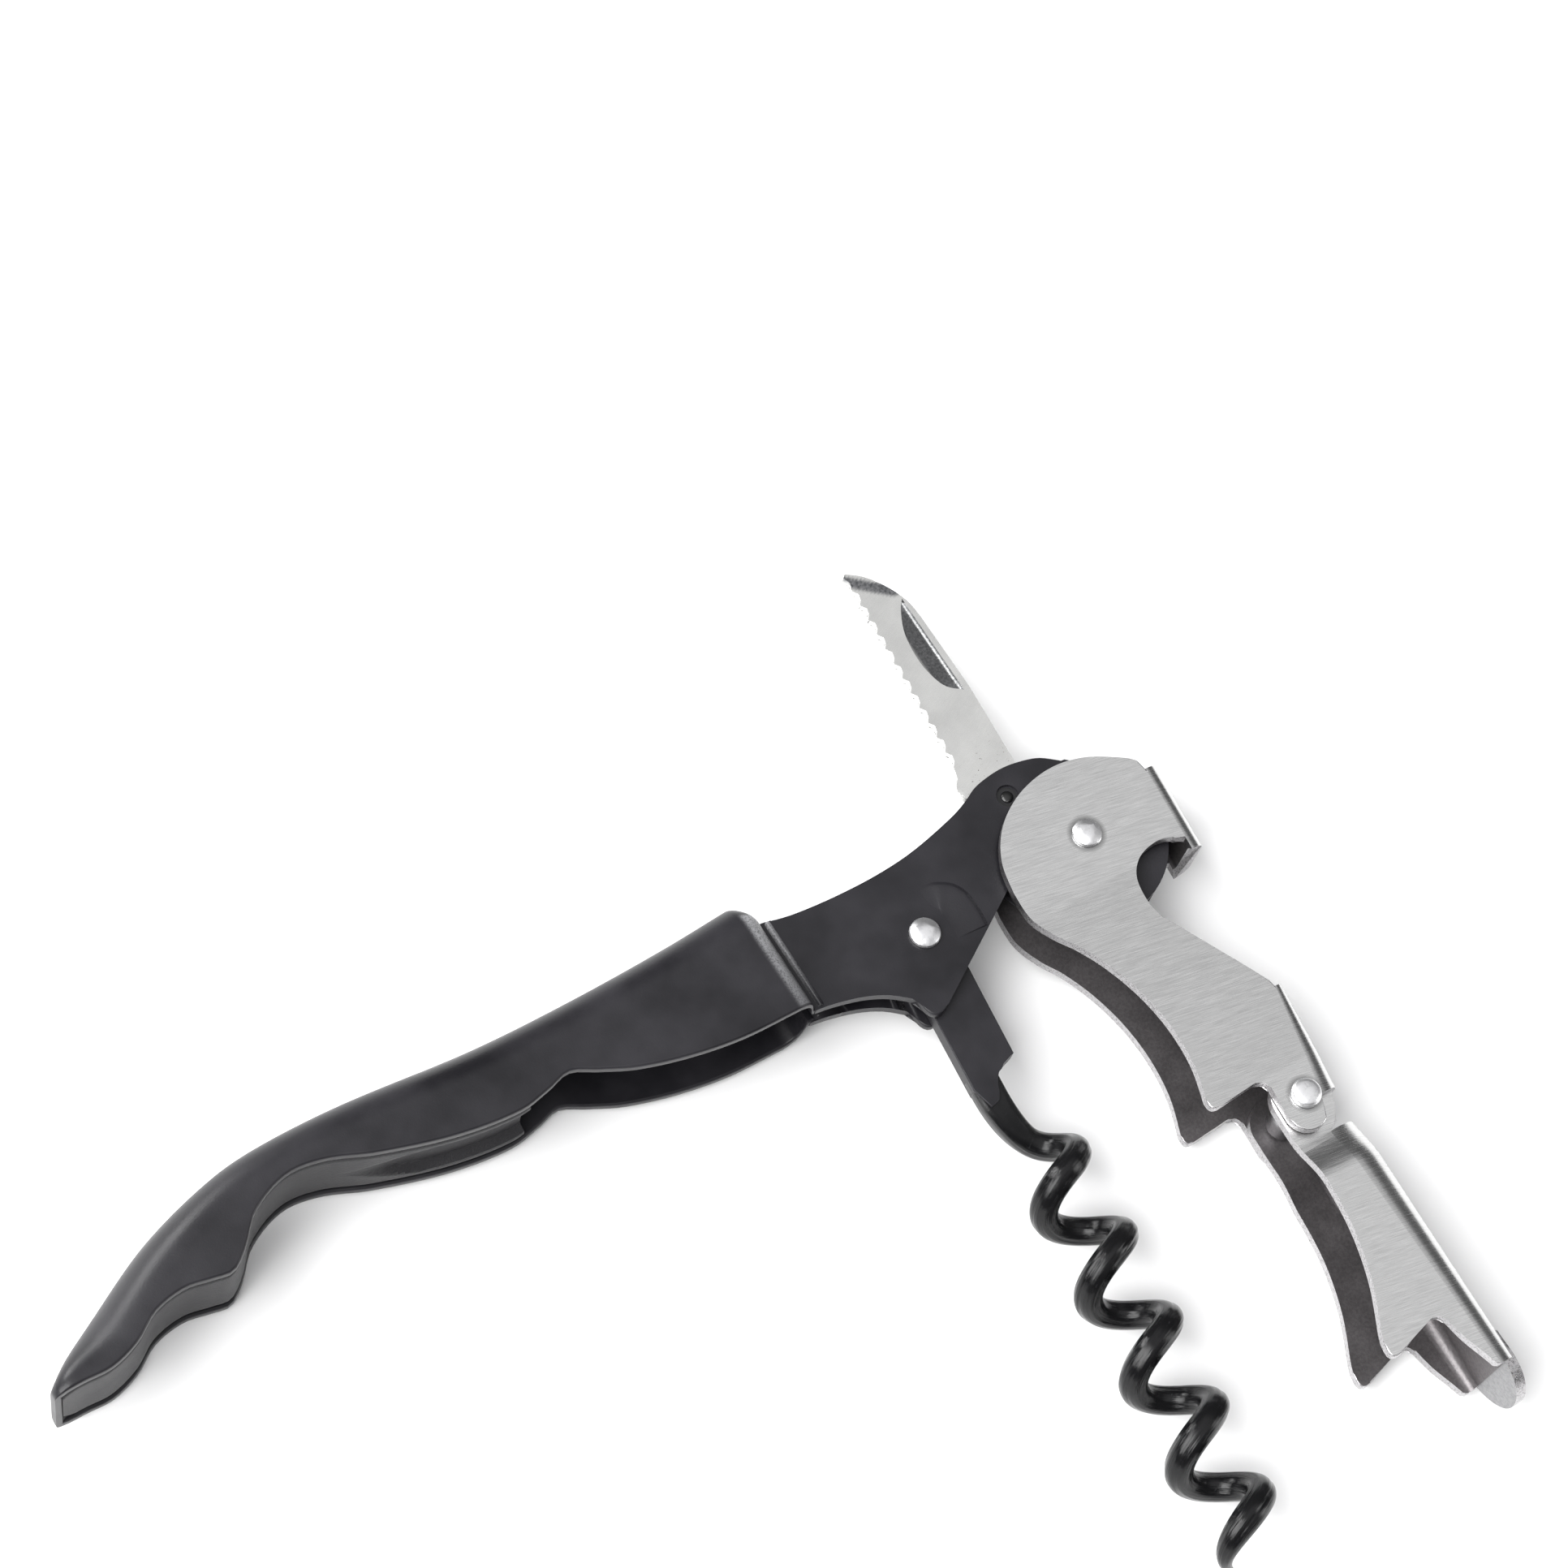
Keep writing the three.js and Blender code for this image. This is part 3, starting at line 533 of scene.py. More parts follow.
# ---- Handle ----------------------------------------------------------------------------------------------
TAIL_ROUND = 2.0
TAIL_TAPER = 1.3
RIM_R = 0.26
BACK_R = 3.2  # rounding of the back, except near the tail
WELT_X = NECK_X + 0.2
TROUGH_X = -76.5  # the infill's trough starts here


def grip_half(x):
    """Half width of the grip, rounded off at the tail."""
    t = min(1.0, max(0.0, (TAIL_X + TAIL_ROUND - x) / TAIL_ROUND))
    return HALF_WIDTH - TAIL_TAPER * (1 - math.sqrt(1 - t * t))


def arc_points(y, z, radius, start, end, steps):
    """(y, z) points of an arc whose angle runs from +Z towards +Y."""
    return [(y + radius * math.sin(a), z + radius * math.cos(a))
            for a in (start + (end - start) * k / steps for k in range(steps + 1))]


def half_turns(*quarters):
    return [q * math.pi / 2 for q in quarters]


def sheet_ring(x, low, high, half, back_r, rim):
    """Cross-section of the pressed sheet at x: rounded back, wall, round rim, and back inside."""
    inner_r = max(0.2, back_r - SHEET)
    q0, q1, q2 = half_turns(0, 1, 2)
    inside = max(0.9, half - SHEET)
    top = high - SHEET
    ring = arc_points(high - back_r, half - back_r, back_r, q0, q1, 10)
    ring += arc_points(high - back_r, back_r - half, back_r, q1, q2, 10)
    ring += arc_points(low + rim, rim - half, rim, q2, q2 * 1.5, 4)
    ring += arc_points(low + rim, -rim - inside, rim, q2 * 1.5, q2 * 2, 4)
    ring += arc_points(top - inner_r, inner_r - inside, inner_r, q2, q1, 6)
    ring += arc_points(top - inner_r, inside - inner_r, inner_r, q1, q0, 6)
    ring += arc_points(low + rim, inside + rim, rim, q2, q2 * 1.5, 4)
    ring += arc_points(low + rim, half - rim, rim, q2 * 1.5, q2 * 2, 4)
    return [(x, y, z) for y, z in ring]


def back_radius(x):
    """Rounding of the back, larger towards the tail."""
    tall = height_at(BACK, x) - height_at(BELLY, x)
    return min(BACK_R + 1.5 * (1 - smooth_step((x + 103) / 22)), tall * 0.86, grip_half(x) * 0.9)


def grip_section(x):
    low, high, half = height_at(BELLY, x), height_at(BACK, x), grip_half(x)
    return sheet_ring(x, low, high, half, back_radius(x), min(RIM_R, 0.13 * (high - low)))


def shoulder_half(x):
    """Half width through the shoulder: a round edge, a steep drop, and a small raised welt at the foot."""
    run = x - SHOULDER_X
    edge_r, turned, drop_length = 1.9, 0.97, 0.5  # the edge's arc ends where run is turned * edge_r
    foot = NECK_HALF - 0.04
    welt = 0.24 * math.exp(-(((x - WELT_X) / 0.24) ** 2))
    if run < turned * edge_r:
        return HALF_WIDTH - edge_r + math.sqrt(edge_r**2 - run**2)
    start = HALF_WIDTH - edge_r * (1 - math.sqrt(1 - turned**2))
    drop = smooth_step((run - turned * edge_r) / drop_length)
    return start + (foot - start) * drop + welt * drop


def shoulder_section(x):
    """Cross-section at x, where the grip narrows to the neck."""
    t = smooth_step((x - SHOULDER_X) / (NECK_X - SHOULDER_X))
    half = shoulder_half(x)
    high = height_at(BACK, SHOULDER_X) * (1 - t) + NECK_BACK_Y * t
    low = height_at(BELLY, SHOULDER_X)
    return sheet_ring(x, low, high, half, BACK_R * (1 - t) + 0.35 * t, RIM_R)


def tail_section(x):
    """Full cross-section at x, for the solid tail end."""
    low, high, half = height_at(BELLY, x), height_at(BACK, x), grip_half(x)
    back_r = back_radius(x)
    low_r = min(RIM_R, 0.13 * (high - low))
    q = half_turns(0, 1, 2, 3, 4)
    ring = arc_points(high - back_r, half - back_r, back_r, q[0], q[1], 8)
    ring += arc_points(high - back_r, back_r - half, back_r, q[1], q[2], 8)
    ring += arc_points(low + low_r, low_r - half, low_r, q[2], q[3], 4)
    ring += arc_points(low + low_r, half - low_r, low_r, q[3], q[4], 4)
    return [(x, y, z) for y, z in ring]


def neck_outline():
    shape = Outline((NECK_ROOT_X, 7.95))
    shape.curve((-28.3, 7.2), (-23.8, 6.75), (-19.1, 6.65), (-14.8, 7.0), (-10, 8.0), (-7.74, 8.75),
                (-6.1, 9.5), (-4.3, 9.85), (-2.55, 9.93), (-0.8, 9.68), (1.15, 9.05), (3.05, 7.6), per=5)
    shape.arc(MAIN_PIVOT, HEAD_DISC_R, 1.17, -2.45, 60)
    shape.line((-8.2, 0.15), (-20.3, -7.3)).round((-22.0, -8.35), (-22.45, -6.9)).line((-22.65, -5.55))
    shape.curve((-24.6, -3.95), (-26.9, -2.85), (-29.6, -2.1), (NECK_ROOT_X, -1.8), per=4)
    return shape.points


def embossed_step():
    """The cheek is pressed out round the worm rivet: a short slope on its head side, fading behind."""
    path = Outline((-16.9, 3.62)).curve((-15.29, 3.41), (-14.38, 3.02), (-13.58, 2.46), (-13.09, 1.8),
                                        (-12.78, 1.03), (-12.7, 0.27), (-12.68, -0.57), (-12.75, -1.54),
                                        (-12.84, -2.6), per=3).points
    rise, slope, fade = 0.2, 0.5, 3.4
    slope_steps, fade_steps = 6, 12
    rings = []
    last = len(path) - 1
    for k, point in enumerate(path):
        ahead, behind = path[min(last, k + 1)], path[max(0, k - 1)]
        run = (ahead[0] - behind[0], ahead[1] - behind[1])
        size = math.hypot(*run)
        inward = (run[1] / size, -run[0] / size)
        height = rise * smooth_step(4 * k / last)
        ring = []
        for j in range(slope_steps + fade_steps + 1):
            past = (j - slope_steps) / fade_steps
            if past <= 0:
                depth = slope * (j / slope_steps - 0.5)
            else:
                depth = slope / 2 + fade * (j - slope_steps) / fade_steps
            up = smooth_step(j / slope_steps) * (1 - smooth_step(past))
            ring.append((point[0] + depth * inward[0], point[1] + depth * inward[1],
                         NECK_HALF - 0.015 + height * up))
        under = [(x, y, NECK_HALF - 0.2) for x, y, _ in (ring[-1], ring[0])]
        rings.append(ring + under)
    return loft(rings)


def handle():
    rings = [grip_section(x) for x in stations(TAIL_X + 0.5, SHOULDER_X)]
    rings += [shoulder_section(x) for x in stations(SHOULDER_X, NECK_X + 0.7, 0.08)[1:]]
    # the folded blade's tip lies in a slot in the shoulder
    left, right, low, high, slot_half = -32.1, -29.5, 4.2, 12, 0.75
    slot = plate([(left, low), (right, low), (right, high), (left, high)], -slot_half, slot_half, edge=0)
    shell = difference(loft(rings), slot)
    tail = loft([tail_section(x) for x in stations(TAIL_X, TAIL_X + 0.6, 0.1)])
    cheek = plate(tidy(neck_outline(), 0.25), NECK_HALF - NECK_SHEET, NECK_HALF, edge=0.2,
                  plain=lambda a, b: max(a[0], b[0]) < NECK_ROOT_X + 0.1)
    pit_r, pit_depth = 1.12, 0.35
    pit = round_part(BLADE_PIVOT, [(pit_r, NECK_HALF - pit_depth), (pit_r, NECK_HALF + 1)])
    cheek = merge(difference(cheek, pit), embossed_step())
    paint(shell, "wear_and_sheen", shoulder_wear_and_sheen)
    pieces = [tail, mirrored(cheek), cheek]
    for piece in pieces:
        paint(piece, "wear_and_sheen", lambda co: 0.0)
    place("grip_and_neck", merge(shell, *pieces), [SATIN_BLACK], "handle", ["handle_body"])


def shoulder_wear_and_sheen(co):
    """Pale flecks along the ridge of the shoulder, partly coating rubbed thin and partly painted highlight
    where the ridge catches the light, and scuffs along its foot.
    """
    # ridge: painted highlight mixed with worn coating
    ridge = math.exp(-(((co.x - SHOULDER_X - 1.05) / 0.7) ** 4)) * smooth_step((co.y + 1.7) / 0.4)
    foot = math.exp(-(((co.x - WELT_X) / 0.3) ** 4)) * smooth_step((co.y + 0.7) / 0.5)
    outside = SHOULDER_X < co.x and abs(co.z) > shoulder_half(co.x) - 0.4
    return 0.95 * max(ridge, foot) if outside and co.y < 9.2 else 0.0


def infill():
    """The black strip that closes the grip's open side, hollowed out where the worm's tip lies."""
    rings = []
    gap = 0.55
    start = TAIL_X + 0.75
    columns = 32
    for x in stations(start, INFILL_END_X, 0.6):
        corner = 0.8 * (1 - smooth_step((x - start) / 1.0))
        half = grip_half(x) - SHEET - gap - corner
        low = height_at(BELLY, x) + 0.12
        high = max(low + 0.2, min(low + 2.2, height_at(BACK, x) - 0.8))
        edge = min(0.2, 0.3 * (high - low))
        trough_half = 2.7 * smooth_step((x - TROUGH_X) / 8.5) ** 0.7
        trough_depth = 0.95 * smooth_step((x - TROUGH_X) / 7)
        bottom = []
        for k in range(columns + 1):
            z = -half + 2 * half * k / columns
            rim = max(0.0, abs(z) - (half - 0.4)) / 0.4
            trough = trough_depth * smooth_step((trough_half - abs(z)) / 0.55 + 0.5)
            bottom.append((x, low + edge * rim**2 + trough, z))
        rings.append(bottom + [(x, high, half), (x, high, -half)])
    place("grip_panel", loft(rings), [INFILL_BLACK], "handle", ["grip_infill"])


handle()
infill()

# ---- Levers ----------------------------------------------------------------------------------------------
ELBOW = (7.07, -21.6)
ARM_END = (5.9, -32.4)
HOOK_HIGH = (10.25, 2.6)
HOOK_LOW = (9.55, -5.2)
HOOK_HEIGHTS = (-5.0, 2.75)  # where the cap's walls meet the hook's bends
HOOK_TIP_Y = -6.2
SECOND_TOP = (6.4, -35.6)
LIP_ROOT = (4.9, -61.3)
JOGGLE = (-35.0, -39.6)  # the second lever widens between these heights
NESTED = HALF_WIDTH - SHEET - 0.12  # half width of the second lever inside the main lever
ARM_HEIGHTS = stations(ARM_END[1], ELBOW[1], 0.6)
SECOND_HEIGHTS = stations(LIP_ROOT[1], SECOND_TOP[1], 0.55)
LIP_BARE_Y = -61.0  # the lip's inner face is rubbed bright below here
LEVER_MATERIALS = [BRUSHED, INSIDE_STEEL, CUT_EDGE, LIP_STEEL]
OUTER, INNER, CUT, LIP = 0, 1, 2, 3


def main_half(y):
    """Half width of the main lever: narrow at the cap, widening to the ears."""
    t = min(1.0, max(0.0, (y - CAP_END_Y) / (FLARE_END_Y - CAP_END_Y)))
    return CAP_HALF + (HALF_WIDTH - CAP_HALF) * t


def second_half(y):
    """Half width of the second lever: narrow where it nests in the main lever."""
    return NESTED + (HALF_WIDTH - NESTED) * smooth_step((y - JOGGLE[0]) / (JOGGLE[1] - JOGGLE[0]))


def sort_faces(bm):
    """Gives a flat plate between -SHEET and 0 its materials: outside, inside and cut faces."""
    level, near = 0.9, 0.05
    for face in bm.faces:
        z = face.calc_center_median().z
        if face.normal.z > level and z > -near:
            face.material_index = OUTER
        elif face.normal.z < -level and z < near - SHEET:
            face.material_index = INNER
        else:
            face.material_index = CUT


def wall(outline, half, cuts, plain):
    """One side wall of a lever, at +Z, folded outwards as half(y) says."""
    bm = plate(outline, -SHEET, 0, plain=plain)
    sort_faces(bm)
    return bend_sheet(bm, cuts, half)


def channel(outer_x, half, heights, radius_at, slant=0.0):
    """Web and bends of a folded lever, between the two walls. The lowest end slants back by slant inside."""
    rings = []
    for y in heights:
        x, h, radius = outer_x(y), half(y), radius_at(y)
        inner_r = max(0.15, radius - SHEET)
        outer = arc_points(x - radius, h - radius, radius, 0, math.pi / 2, 12)
        outer += [(px, -z) for px, z in reversed(outer)]
        inner = arc_points(x - radius, h - radius, inner_r, 0, math.pi / 2, 6)
        inner += [(px, -z) for px, z in reversed(inner)]
        inner_y = y + slant if y == min(heights) else y
        rings.append([(px, y, z) for px, z in outer] + [(px, inner_y, z) for px, z in inner[::-1]])
    outer_count = len(outer)
    total = len(rings[0])

    def material_of(i):
        if i < outer_count - 1:
            return OUTER
        return CUT if i in (outer_count - 1, total - 1) else INNER

    bm = loft(rings, material_of=material_of)
    ends = [f for f in bm.faces if len(f.verts) == total]
    for face in ends:
        face.material_index = CUT
    return bm


def arm_x(y):
    """Outside of the main lever's web."""
    return between(ELBOW, ARM_END, y)


def arm_bend(y):
    """Radius of the bends beside that web."""
    return between((0.8, ELBOW[1]), (2.3, ARM_END[1]), y)


def hook_x(y):
    """Outside of the crown-cap hook's web."""
    return between(HOOK_HIGH, HOOK_LOW, y)


def second_x(y):
    """Outside of the second lever's web."""
    return between(SECOND_TOP, LIP_ROOT, y)


def second_bend(y):
    """Radius of the bends beside that web."""
    return between((3.7, SECOND_TOP[1]), (2.0, LIP_ROOT[1]), y)


def hook_bend(_y):
    """Radius of the bends beside the hook's web, the same all along."""
    return HOOK_R


def main_outline():
    def on_hook(y):
        return hook_x(y) - HOOK_R, y

    shape = Outline(on_hook(HOOK_HEIGHTS[1]), (8.6, 3.75))
    shape.curve((7.5, 4.75), (4.2, 6.6), (0.6, 7.25), (-3.3, 6.5), (-6.6, 4.5), (-8.7, 1.6), (-9.5, -1.6))
    shape.curve((-9.55, -4.4), (-8.6, -6.9), (-7.2, -9.2), (-5.9, -12.2), (-4.9, -16), (-4.55, -20),
                (-4.95, -24), (-6.1, -27.6))
    shape.round((-6.4, -28.7), (-5.4, -28.7)).line((-1.2, -28.5)).round((-0.1, -28.5), (-0.15, -29.6))
    shape.line((-0.4, -33.0)).arc((1.55, -33.0), 1.95, math.pi, 1.72 * math.pi, 12)
    shape.line(*[(arm_x(y) - arm_bend(y), y) for y in ARM_HEIGHTS])
    shape.line((6.2, -21.0), (5.3, -19.0))
    shape.line((1.35, -10.9))
    shape.curve((1.05, -8.6), (1.6, -6.0), (3.15, -4.4), (5.4, -3.9), (7.2, -4.35))
    shape.line(on_hook(HOOK_HEIGHTS[0]))
    return shape.points


def on_seams(*seams):
    """Tells whether an edge of an outline lies where a wall joins a bend."""
    def on_one(point, outer_x, radius_at, heights):
        inside = heights[0] - 0.01 < point[1] < heights[-1] + 0.01
        return inside and abs(point[0] - outer_x(point[1]) + radius_at(point[1])) < 0.03

    return lambda a, b: any(on_one(a, *seam) and on_one(b, *seam) for seam in seams)


def main_lever():
    seams = on_seams((arm_x, arm_bend, ARM_HEIGHTS), (hook_x, hook_bend, HOOK_HEIGHTS))
    near = wall(main_outline(), main_half, (CAP_END_Y, FLARE_END_Y), seams)
    far = mirrored(near)
    web = channel(arm_x, main_half, ARM_HEIGHTS[::-1], arm_bend)
    tongue = plate([(5.0, -31.5), (4.95, -33.4), (5.2, -34.0), (6.15, -34.0), (6.1, -31.5)], -4.2, -0.4, 0.2)
    hook = channel(hook_x, lambda y: CAP_HALF, stations(HOOK_TIP_Y, HOOK_HEIGHTS[1], 1.2), hook_bend, 0.6)
    for face in tongue.faces:
        face.material_index = CUT
    body = merge(near, far, web, tongue, hook)
    place("main_lever_steel", body, LEVER_MATERIALS, "main_lever", ["main_lever"])


def second_outline():
    shape = Outline().arc(JOINT_PIVOT, 2.95, -0.7, math.pi, 24)
    shape.curve((-0.75, -34.6), (-0.7, -38.5), (-1.3, -44), (-2.75, -49), (-4.9, -53.4))
    shape.round((-6.2, -56.2), (-4.4, -55.9)).line((-0.3, -54.6)).round((0.7, -54.4), (1.05, -55.4))
    shape.curve((1.5, -57.7), (2.2, -59.8), (2.6, -61.1))
    shape.line(*[(second_x(y) - second_bend(y), y) for y in SECOND_HEIGHTS], (3.9, -35.0))
    return shape.points


def round_lip():
    """The round lip at the end of the second lever: drawn flat, then stood up in the plane of the web."""
    radius, centre_y, root_y = 4.3, -60.4, -58.5
    rim = Outline((-radius, root_y)).arc((0, centre_y), radius, math.pi, 2 * math.pi, 40)
    rim.line((radius, root_y))
    lip = plate(rim.points, -SHEET, 0, edge=0.2)
    cut_across(lip, (0, LIP_BARE_Y, 0), (0, 1, 0))
    sort_faces(lip)
    for face in lip.faces:
        if face.material_index == INNER and face.calc_center_median().y < LIP_BARE_Y:
            face.material_index = LIP
    for vert in lip.verts:
        across, y, depth = vert.co
        kick = 0.25 * smooth_step((-59.0 - y) / 5)
        vert.co = (second_x(y) + depth + kick, y, across)
    return lip


def second_lever():
    joggle_steps = 8
    cuts = [JOGGLE[0] + (JOGGLE[1] - JOGGLE[0]) * k / joggle_steps for k in range(joggle_steps + 1)]
    near = wall(second_outline(), second_half, cuts, on_seams((second_x, second_bend, SECOND_HEIGHTS)))
    far = mirrored(near)
    web = channel(second_x, second_half, SECOND_HEIGHTS[::-1], second_bend)
    body = merge(near, far, web, round_lip())
    place("second_lever_steel", body, LEVER_MATERIALS, "second_lever", ["second_lever"])


def joint_barrel():
    """The turned barrel between the walls, on the lever joint rivet."""
    radius, end, fillet = 1.6, NESTED - SHEET - 0.03, 0.45
    corner = [(radius - fillet * (1 - math.sin(a)), end - fillet * (1 - math.cos(a)))
              for a in (math.pi / 2 * k / 6 for k in range(7))]
    profile = [(1.3, end), *corner]
    profile = [(r, -z) for r, z in profile] + profile[::-1]
    place("lever_joint_barrel", round_part(JOINT_PIVOT, profile), [DARK_STEEL], "second_lever",
          ["lever_joint_spacer"], 30)


main_lever()
second_lever()
joint_barrel()


# ---- Worm ------------------------------------------------------------------------------------------------
SHANK_HALF = 0.95
SHANK_TALL, SHANK_WIDE = 0.93, 1.47  # half sizes of the wire where it leaves the shank
WIRE_R = 1.33
HELIX_R = 2.85
PITCH = 8.65
WORM_ANGLE = math.radians(-96.5)
WORM_AXIS_OFFSET = 1.28
FIRST_CREST = 23.55  # along the worm, where the helix first bulges towards the head
FIRST_ANGLE, LAST_ANGLE = -0.64 * math.pi, 9.3 * math.pi
WIRE_SIDES = 44
FLUTES = 5
RING_STEP = 0.24  # about the distance between two rings of the wire


def worm_point(along, across, z=0.0):
    """Point at a distance along and across the worm's own axis, measured from its pivot."""
    c, s = math.cos(WORM_ANGLE), math.sin(WORM_ANGLE)
    return np.array([WORM_PIVOT[0] + along * c - across * s, WORM_PIVOT[1] + along * s + across * c, z])


def worm_path():
    """Centres of the wire: straight down from the shank, then eased into the helix."""
    centres = [worm_point(14.0 + RING_STEP * k, -0.98) for k in range(18)]
    steps, eased, passes = 400, 60, 70
    for k in range(steps + 1):
        a = FIRST_ANGLE + (LAST_ANGLE - FIRST_ANGLE) * k / steps
        along = FIRST_CREST + PITCH * a / (2 * math.pi)
        centres.append(worm_point(along, WORM_AXIS_OFFSET + HELIX_R * math.cos(a), HELIX_R * math.sin(a)))
    centres = np.array(centres)
    for _ in range(passes):
        centres[1:eased] = (centres[:eased - 1] + 2 * centres[1:eased] + centres[2:eased + 1]) / 4
    return centres


def worm_wire():
    centres = worm_path()
    tangents = np.gradient(centres, axis=0)
    tangents /= np.linalg.norm(tangents, axis=1)[:, None]
    normal = np.array([0, 0, 1.0])
    rings = []
    last = len(centres) - 1
    tip_steps = 34
    for k, (centre, tangent) in enumerate(zip(centres, tangents)):
        normal = normal - tangent * normal.dot(tangent)
        normal /= np.linalg.norm(normal)
        side = np.cross(tangent, normal)
        left = (last - k) / tip_steps
        taper = 0.08 + 0.92 * math.sin(math.pi / 2 * left) if left < 1 else 1.0
        roundness = smooth_step((k - 5) / 20)  # 0 on the flat shank, 1 on the round wire
        tall = SHANK_TALL + (WIRE_R - SHANK_TALL) * roundness
        wide = SHANK_WIDE + (WIRE_R - SHANK_WIDE) * roundness
        power = 2 / (7 - 5 * roundness)
        ring = []
        for j in range(WIRE_SIDES):
            b = 2 * math.pi * j / WIRE_SIDES
            c, d = math.cos(b), math.sin(b)
            flute = 1 - 0.05 * roundness * max(0.0, math.cos(FLUTES * b)) ** 2
            up = tall * math.copysign(abs(c) ** power, c)
            out = wide * math.copysign(abs(d) ** power, d)
            ring.append(tuple(centre + taper * flute * (up * normal + out * side)))
        rings.append(ring)
    wire = loft(rings)
    layer = wire.verts.layers.float_vector.new("flow")
    wire.verts.ensure_lookup_table()
    for index, vert in enumerate(wire.verts):
        k, j = divmod(index, WIRE_SIDES)
        b = 2 * math.pi * j / WIRE_SIDES
        vert[layer] = (RING_STEP * k, WIRE_R * math.cos(b), WIRE_R * math.sin(b))
    return wire


def worm_shank():
    def at(along, across):
        return tuple(worm_point(along, across))[:2]

    ear = [at(2.9 * math.cos(a), 2.9 * math.sin(a)) for a in (math.pi * (1.5 - k / 16) for k in range(17))]
    shape = Outline(*ear).line(at(4, 2.7), at(13.35, 2.72))
    shape.curve(at(14.2, 0.9), at(15.38, 0.0), at(16.77, -0.5), at(17.25, -1.6), per=4)
    shape.line(at(15.2, -2.43), at(4, -2.55))
    shank = plate(shape.points, -SHANK_HALF, SHANK_HALF, edge=0.12)
    shank.verts.layers.float_vector.new("flow")
    for face in shank.faces:
        face.material_index = 1
    return shank


def worm():
    wire, shank = worm_wire(), worm_shank()
    for piece in (wire, shank):
        paint(piece, "wear_and_sheen", lambda co: 0.0)
    place("worm_screw", merge(wire, shank), [GLOSS_BLACK, SATIN_BLACK], "worm", ["worm"])


worm()


# ---- Foil blade ------------------------------------------------------------------------------------------
BLADE_HALF = 0.45
TEETH = 12
TOOTH_HOLLOW = ((0.2, 0.42), (0.6, 0.52))  # (part of the tooth's pitch, depth) between two tips


def foil_blade():
    shape = Outline((-0.9, 7.2), (-0.55, 9.2), (0.12, 19), (0.1, 27.5))
    shape.curve((-0.1, 29.5), (-1.0, 31.7), (-2.4, 33.7), (-3.95, 34.9))
    shape.line((-4.35, 34.5))
    first, last = np.array((-4.4, 33.0)), np.array((-6.0, 12.7))
    shape.curve((-3.95, 33.8), tuple(first), per=4)
    for k in range(TEETH):
        tip = first + (last - first) * k / TEETH
        after = first + (last - first) * (k + 1) / TEETH
        step = after - tip
        shape.line(tuple(tip))
        hollow = [tuple(tip + part * step + (depth, 0)) for part, depth in TOOTH_HOLLOW]
        shape.curve(*hollow, tuple(after), per=4)
    shape.line((-6.2, 11.6)).curve((-6.85, 10.9), (-6.95, 9.9), (-5.95, 8.5), per=5)
    shape.arc(BLADE_PIVOT, 2.3, 2.7, 5.9, 14)
    blade = plate(shape.points, -BLADE_HALF, BLADE_HALF, edge=0.07)
    # nail nick: straight along the spine side, deepest there, and curved on the other side
    nick = Outline((-0.45, 30.0), (-0.5, 19.0))
    nick.curve((-1.83, 20.1), (-2.45, 21.7), (-2.68, 23.9), (-2.3, 26.7), (-1.3, 28.9), (-0.45, 30.0), per=5)
    floor_z, clear_z, nick_depth = 0.0, 1.2, 0.34
    cutter = plate(nick.points, floor_z, clear_z, edge=0)
    for vert in cutter.verts:
        if vert.co.z < clear_z / 2:
            vert.co.z = BLADE_HALF - nick_depth * smooth_step((vert.co.x + 2.9) / 2.3) + 0.005
    blade = difference(blade, cutter)
    cut_grid(blade)
    drop_doubled_faces(blade)
    paint(blade, "frost", blade_frost)
    paint(blade, "specks", lambda co: smooth_step((15.5 - co.y) / 4))
    place("foil_blade_steel", blade, [BLADE_STEEL], "foil_blade", ["foil_blade"], 25)


def cut_grid(bm):
    """Cuts the blade into a grid, finer near the tip, for what is painted on its vertices."""
    for y in stations(9, 30, 0.6) + stations(30.2, 34.6, 0.2):
        cut_across(bm, (0, y, 0), (0, 1, 0))
    for x in stations(-6.5, 0.0, 0.3):
        cut_across(bm, (x, 0, 0), (1, 0, 0))


def drop_doubled_faces(bm):
    """Deletes pairs of faces that lie back to back on the same corners."""
    by_corners = {}
    for face in bm.faces:
        by_corners.setdefault(frozenset(face.verts), []).append(face)
    doubled = [face for faces in by_corners.values() if len(faces) == 2 for face in faces]
    bmesh.ops.delete(bm, geom=doubled, context="FACES")


def blade_frost(co):
    """Dark frosted bevel under the curved tip, and the floor of the nail nick."""
    above = 0.645 * (co.x + 3.86) + 0.764 * (co.y - 32.75)  # distance past the bevel's straight foot
    bevel = smooth_step(above / 0.35) * (1 - smooth_step((above - 1.2) / 0.2))
    bevel *= smooth_step((co.y - 30.3) / 0.5)
    nick = 1.0 if 0 < co.z < BLADE_HALF - 0.03 and -3.0 < co.x < -0.4 and 18.9 < co.y < 30.1 else 0.0
    return max(bevel if co.z > 0 else 0.0, 0.9 * nick)


foil_blade()


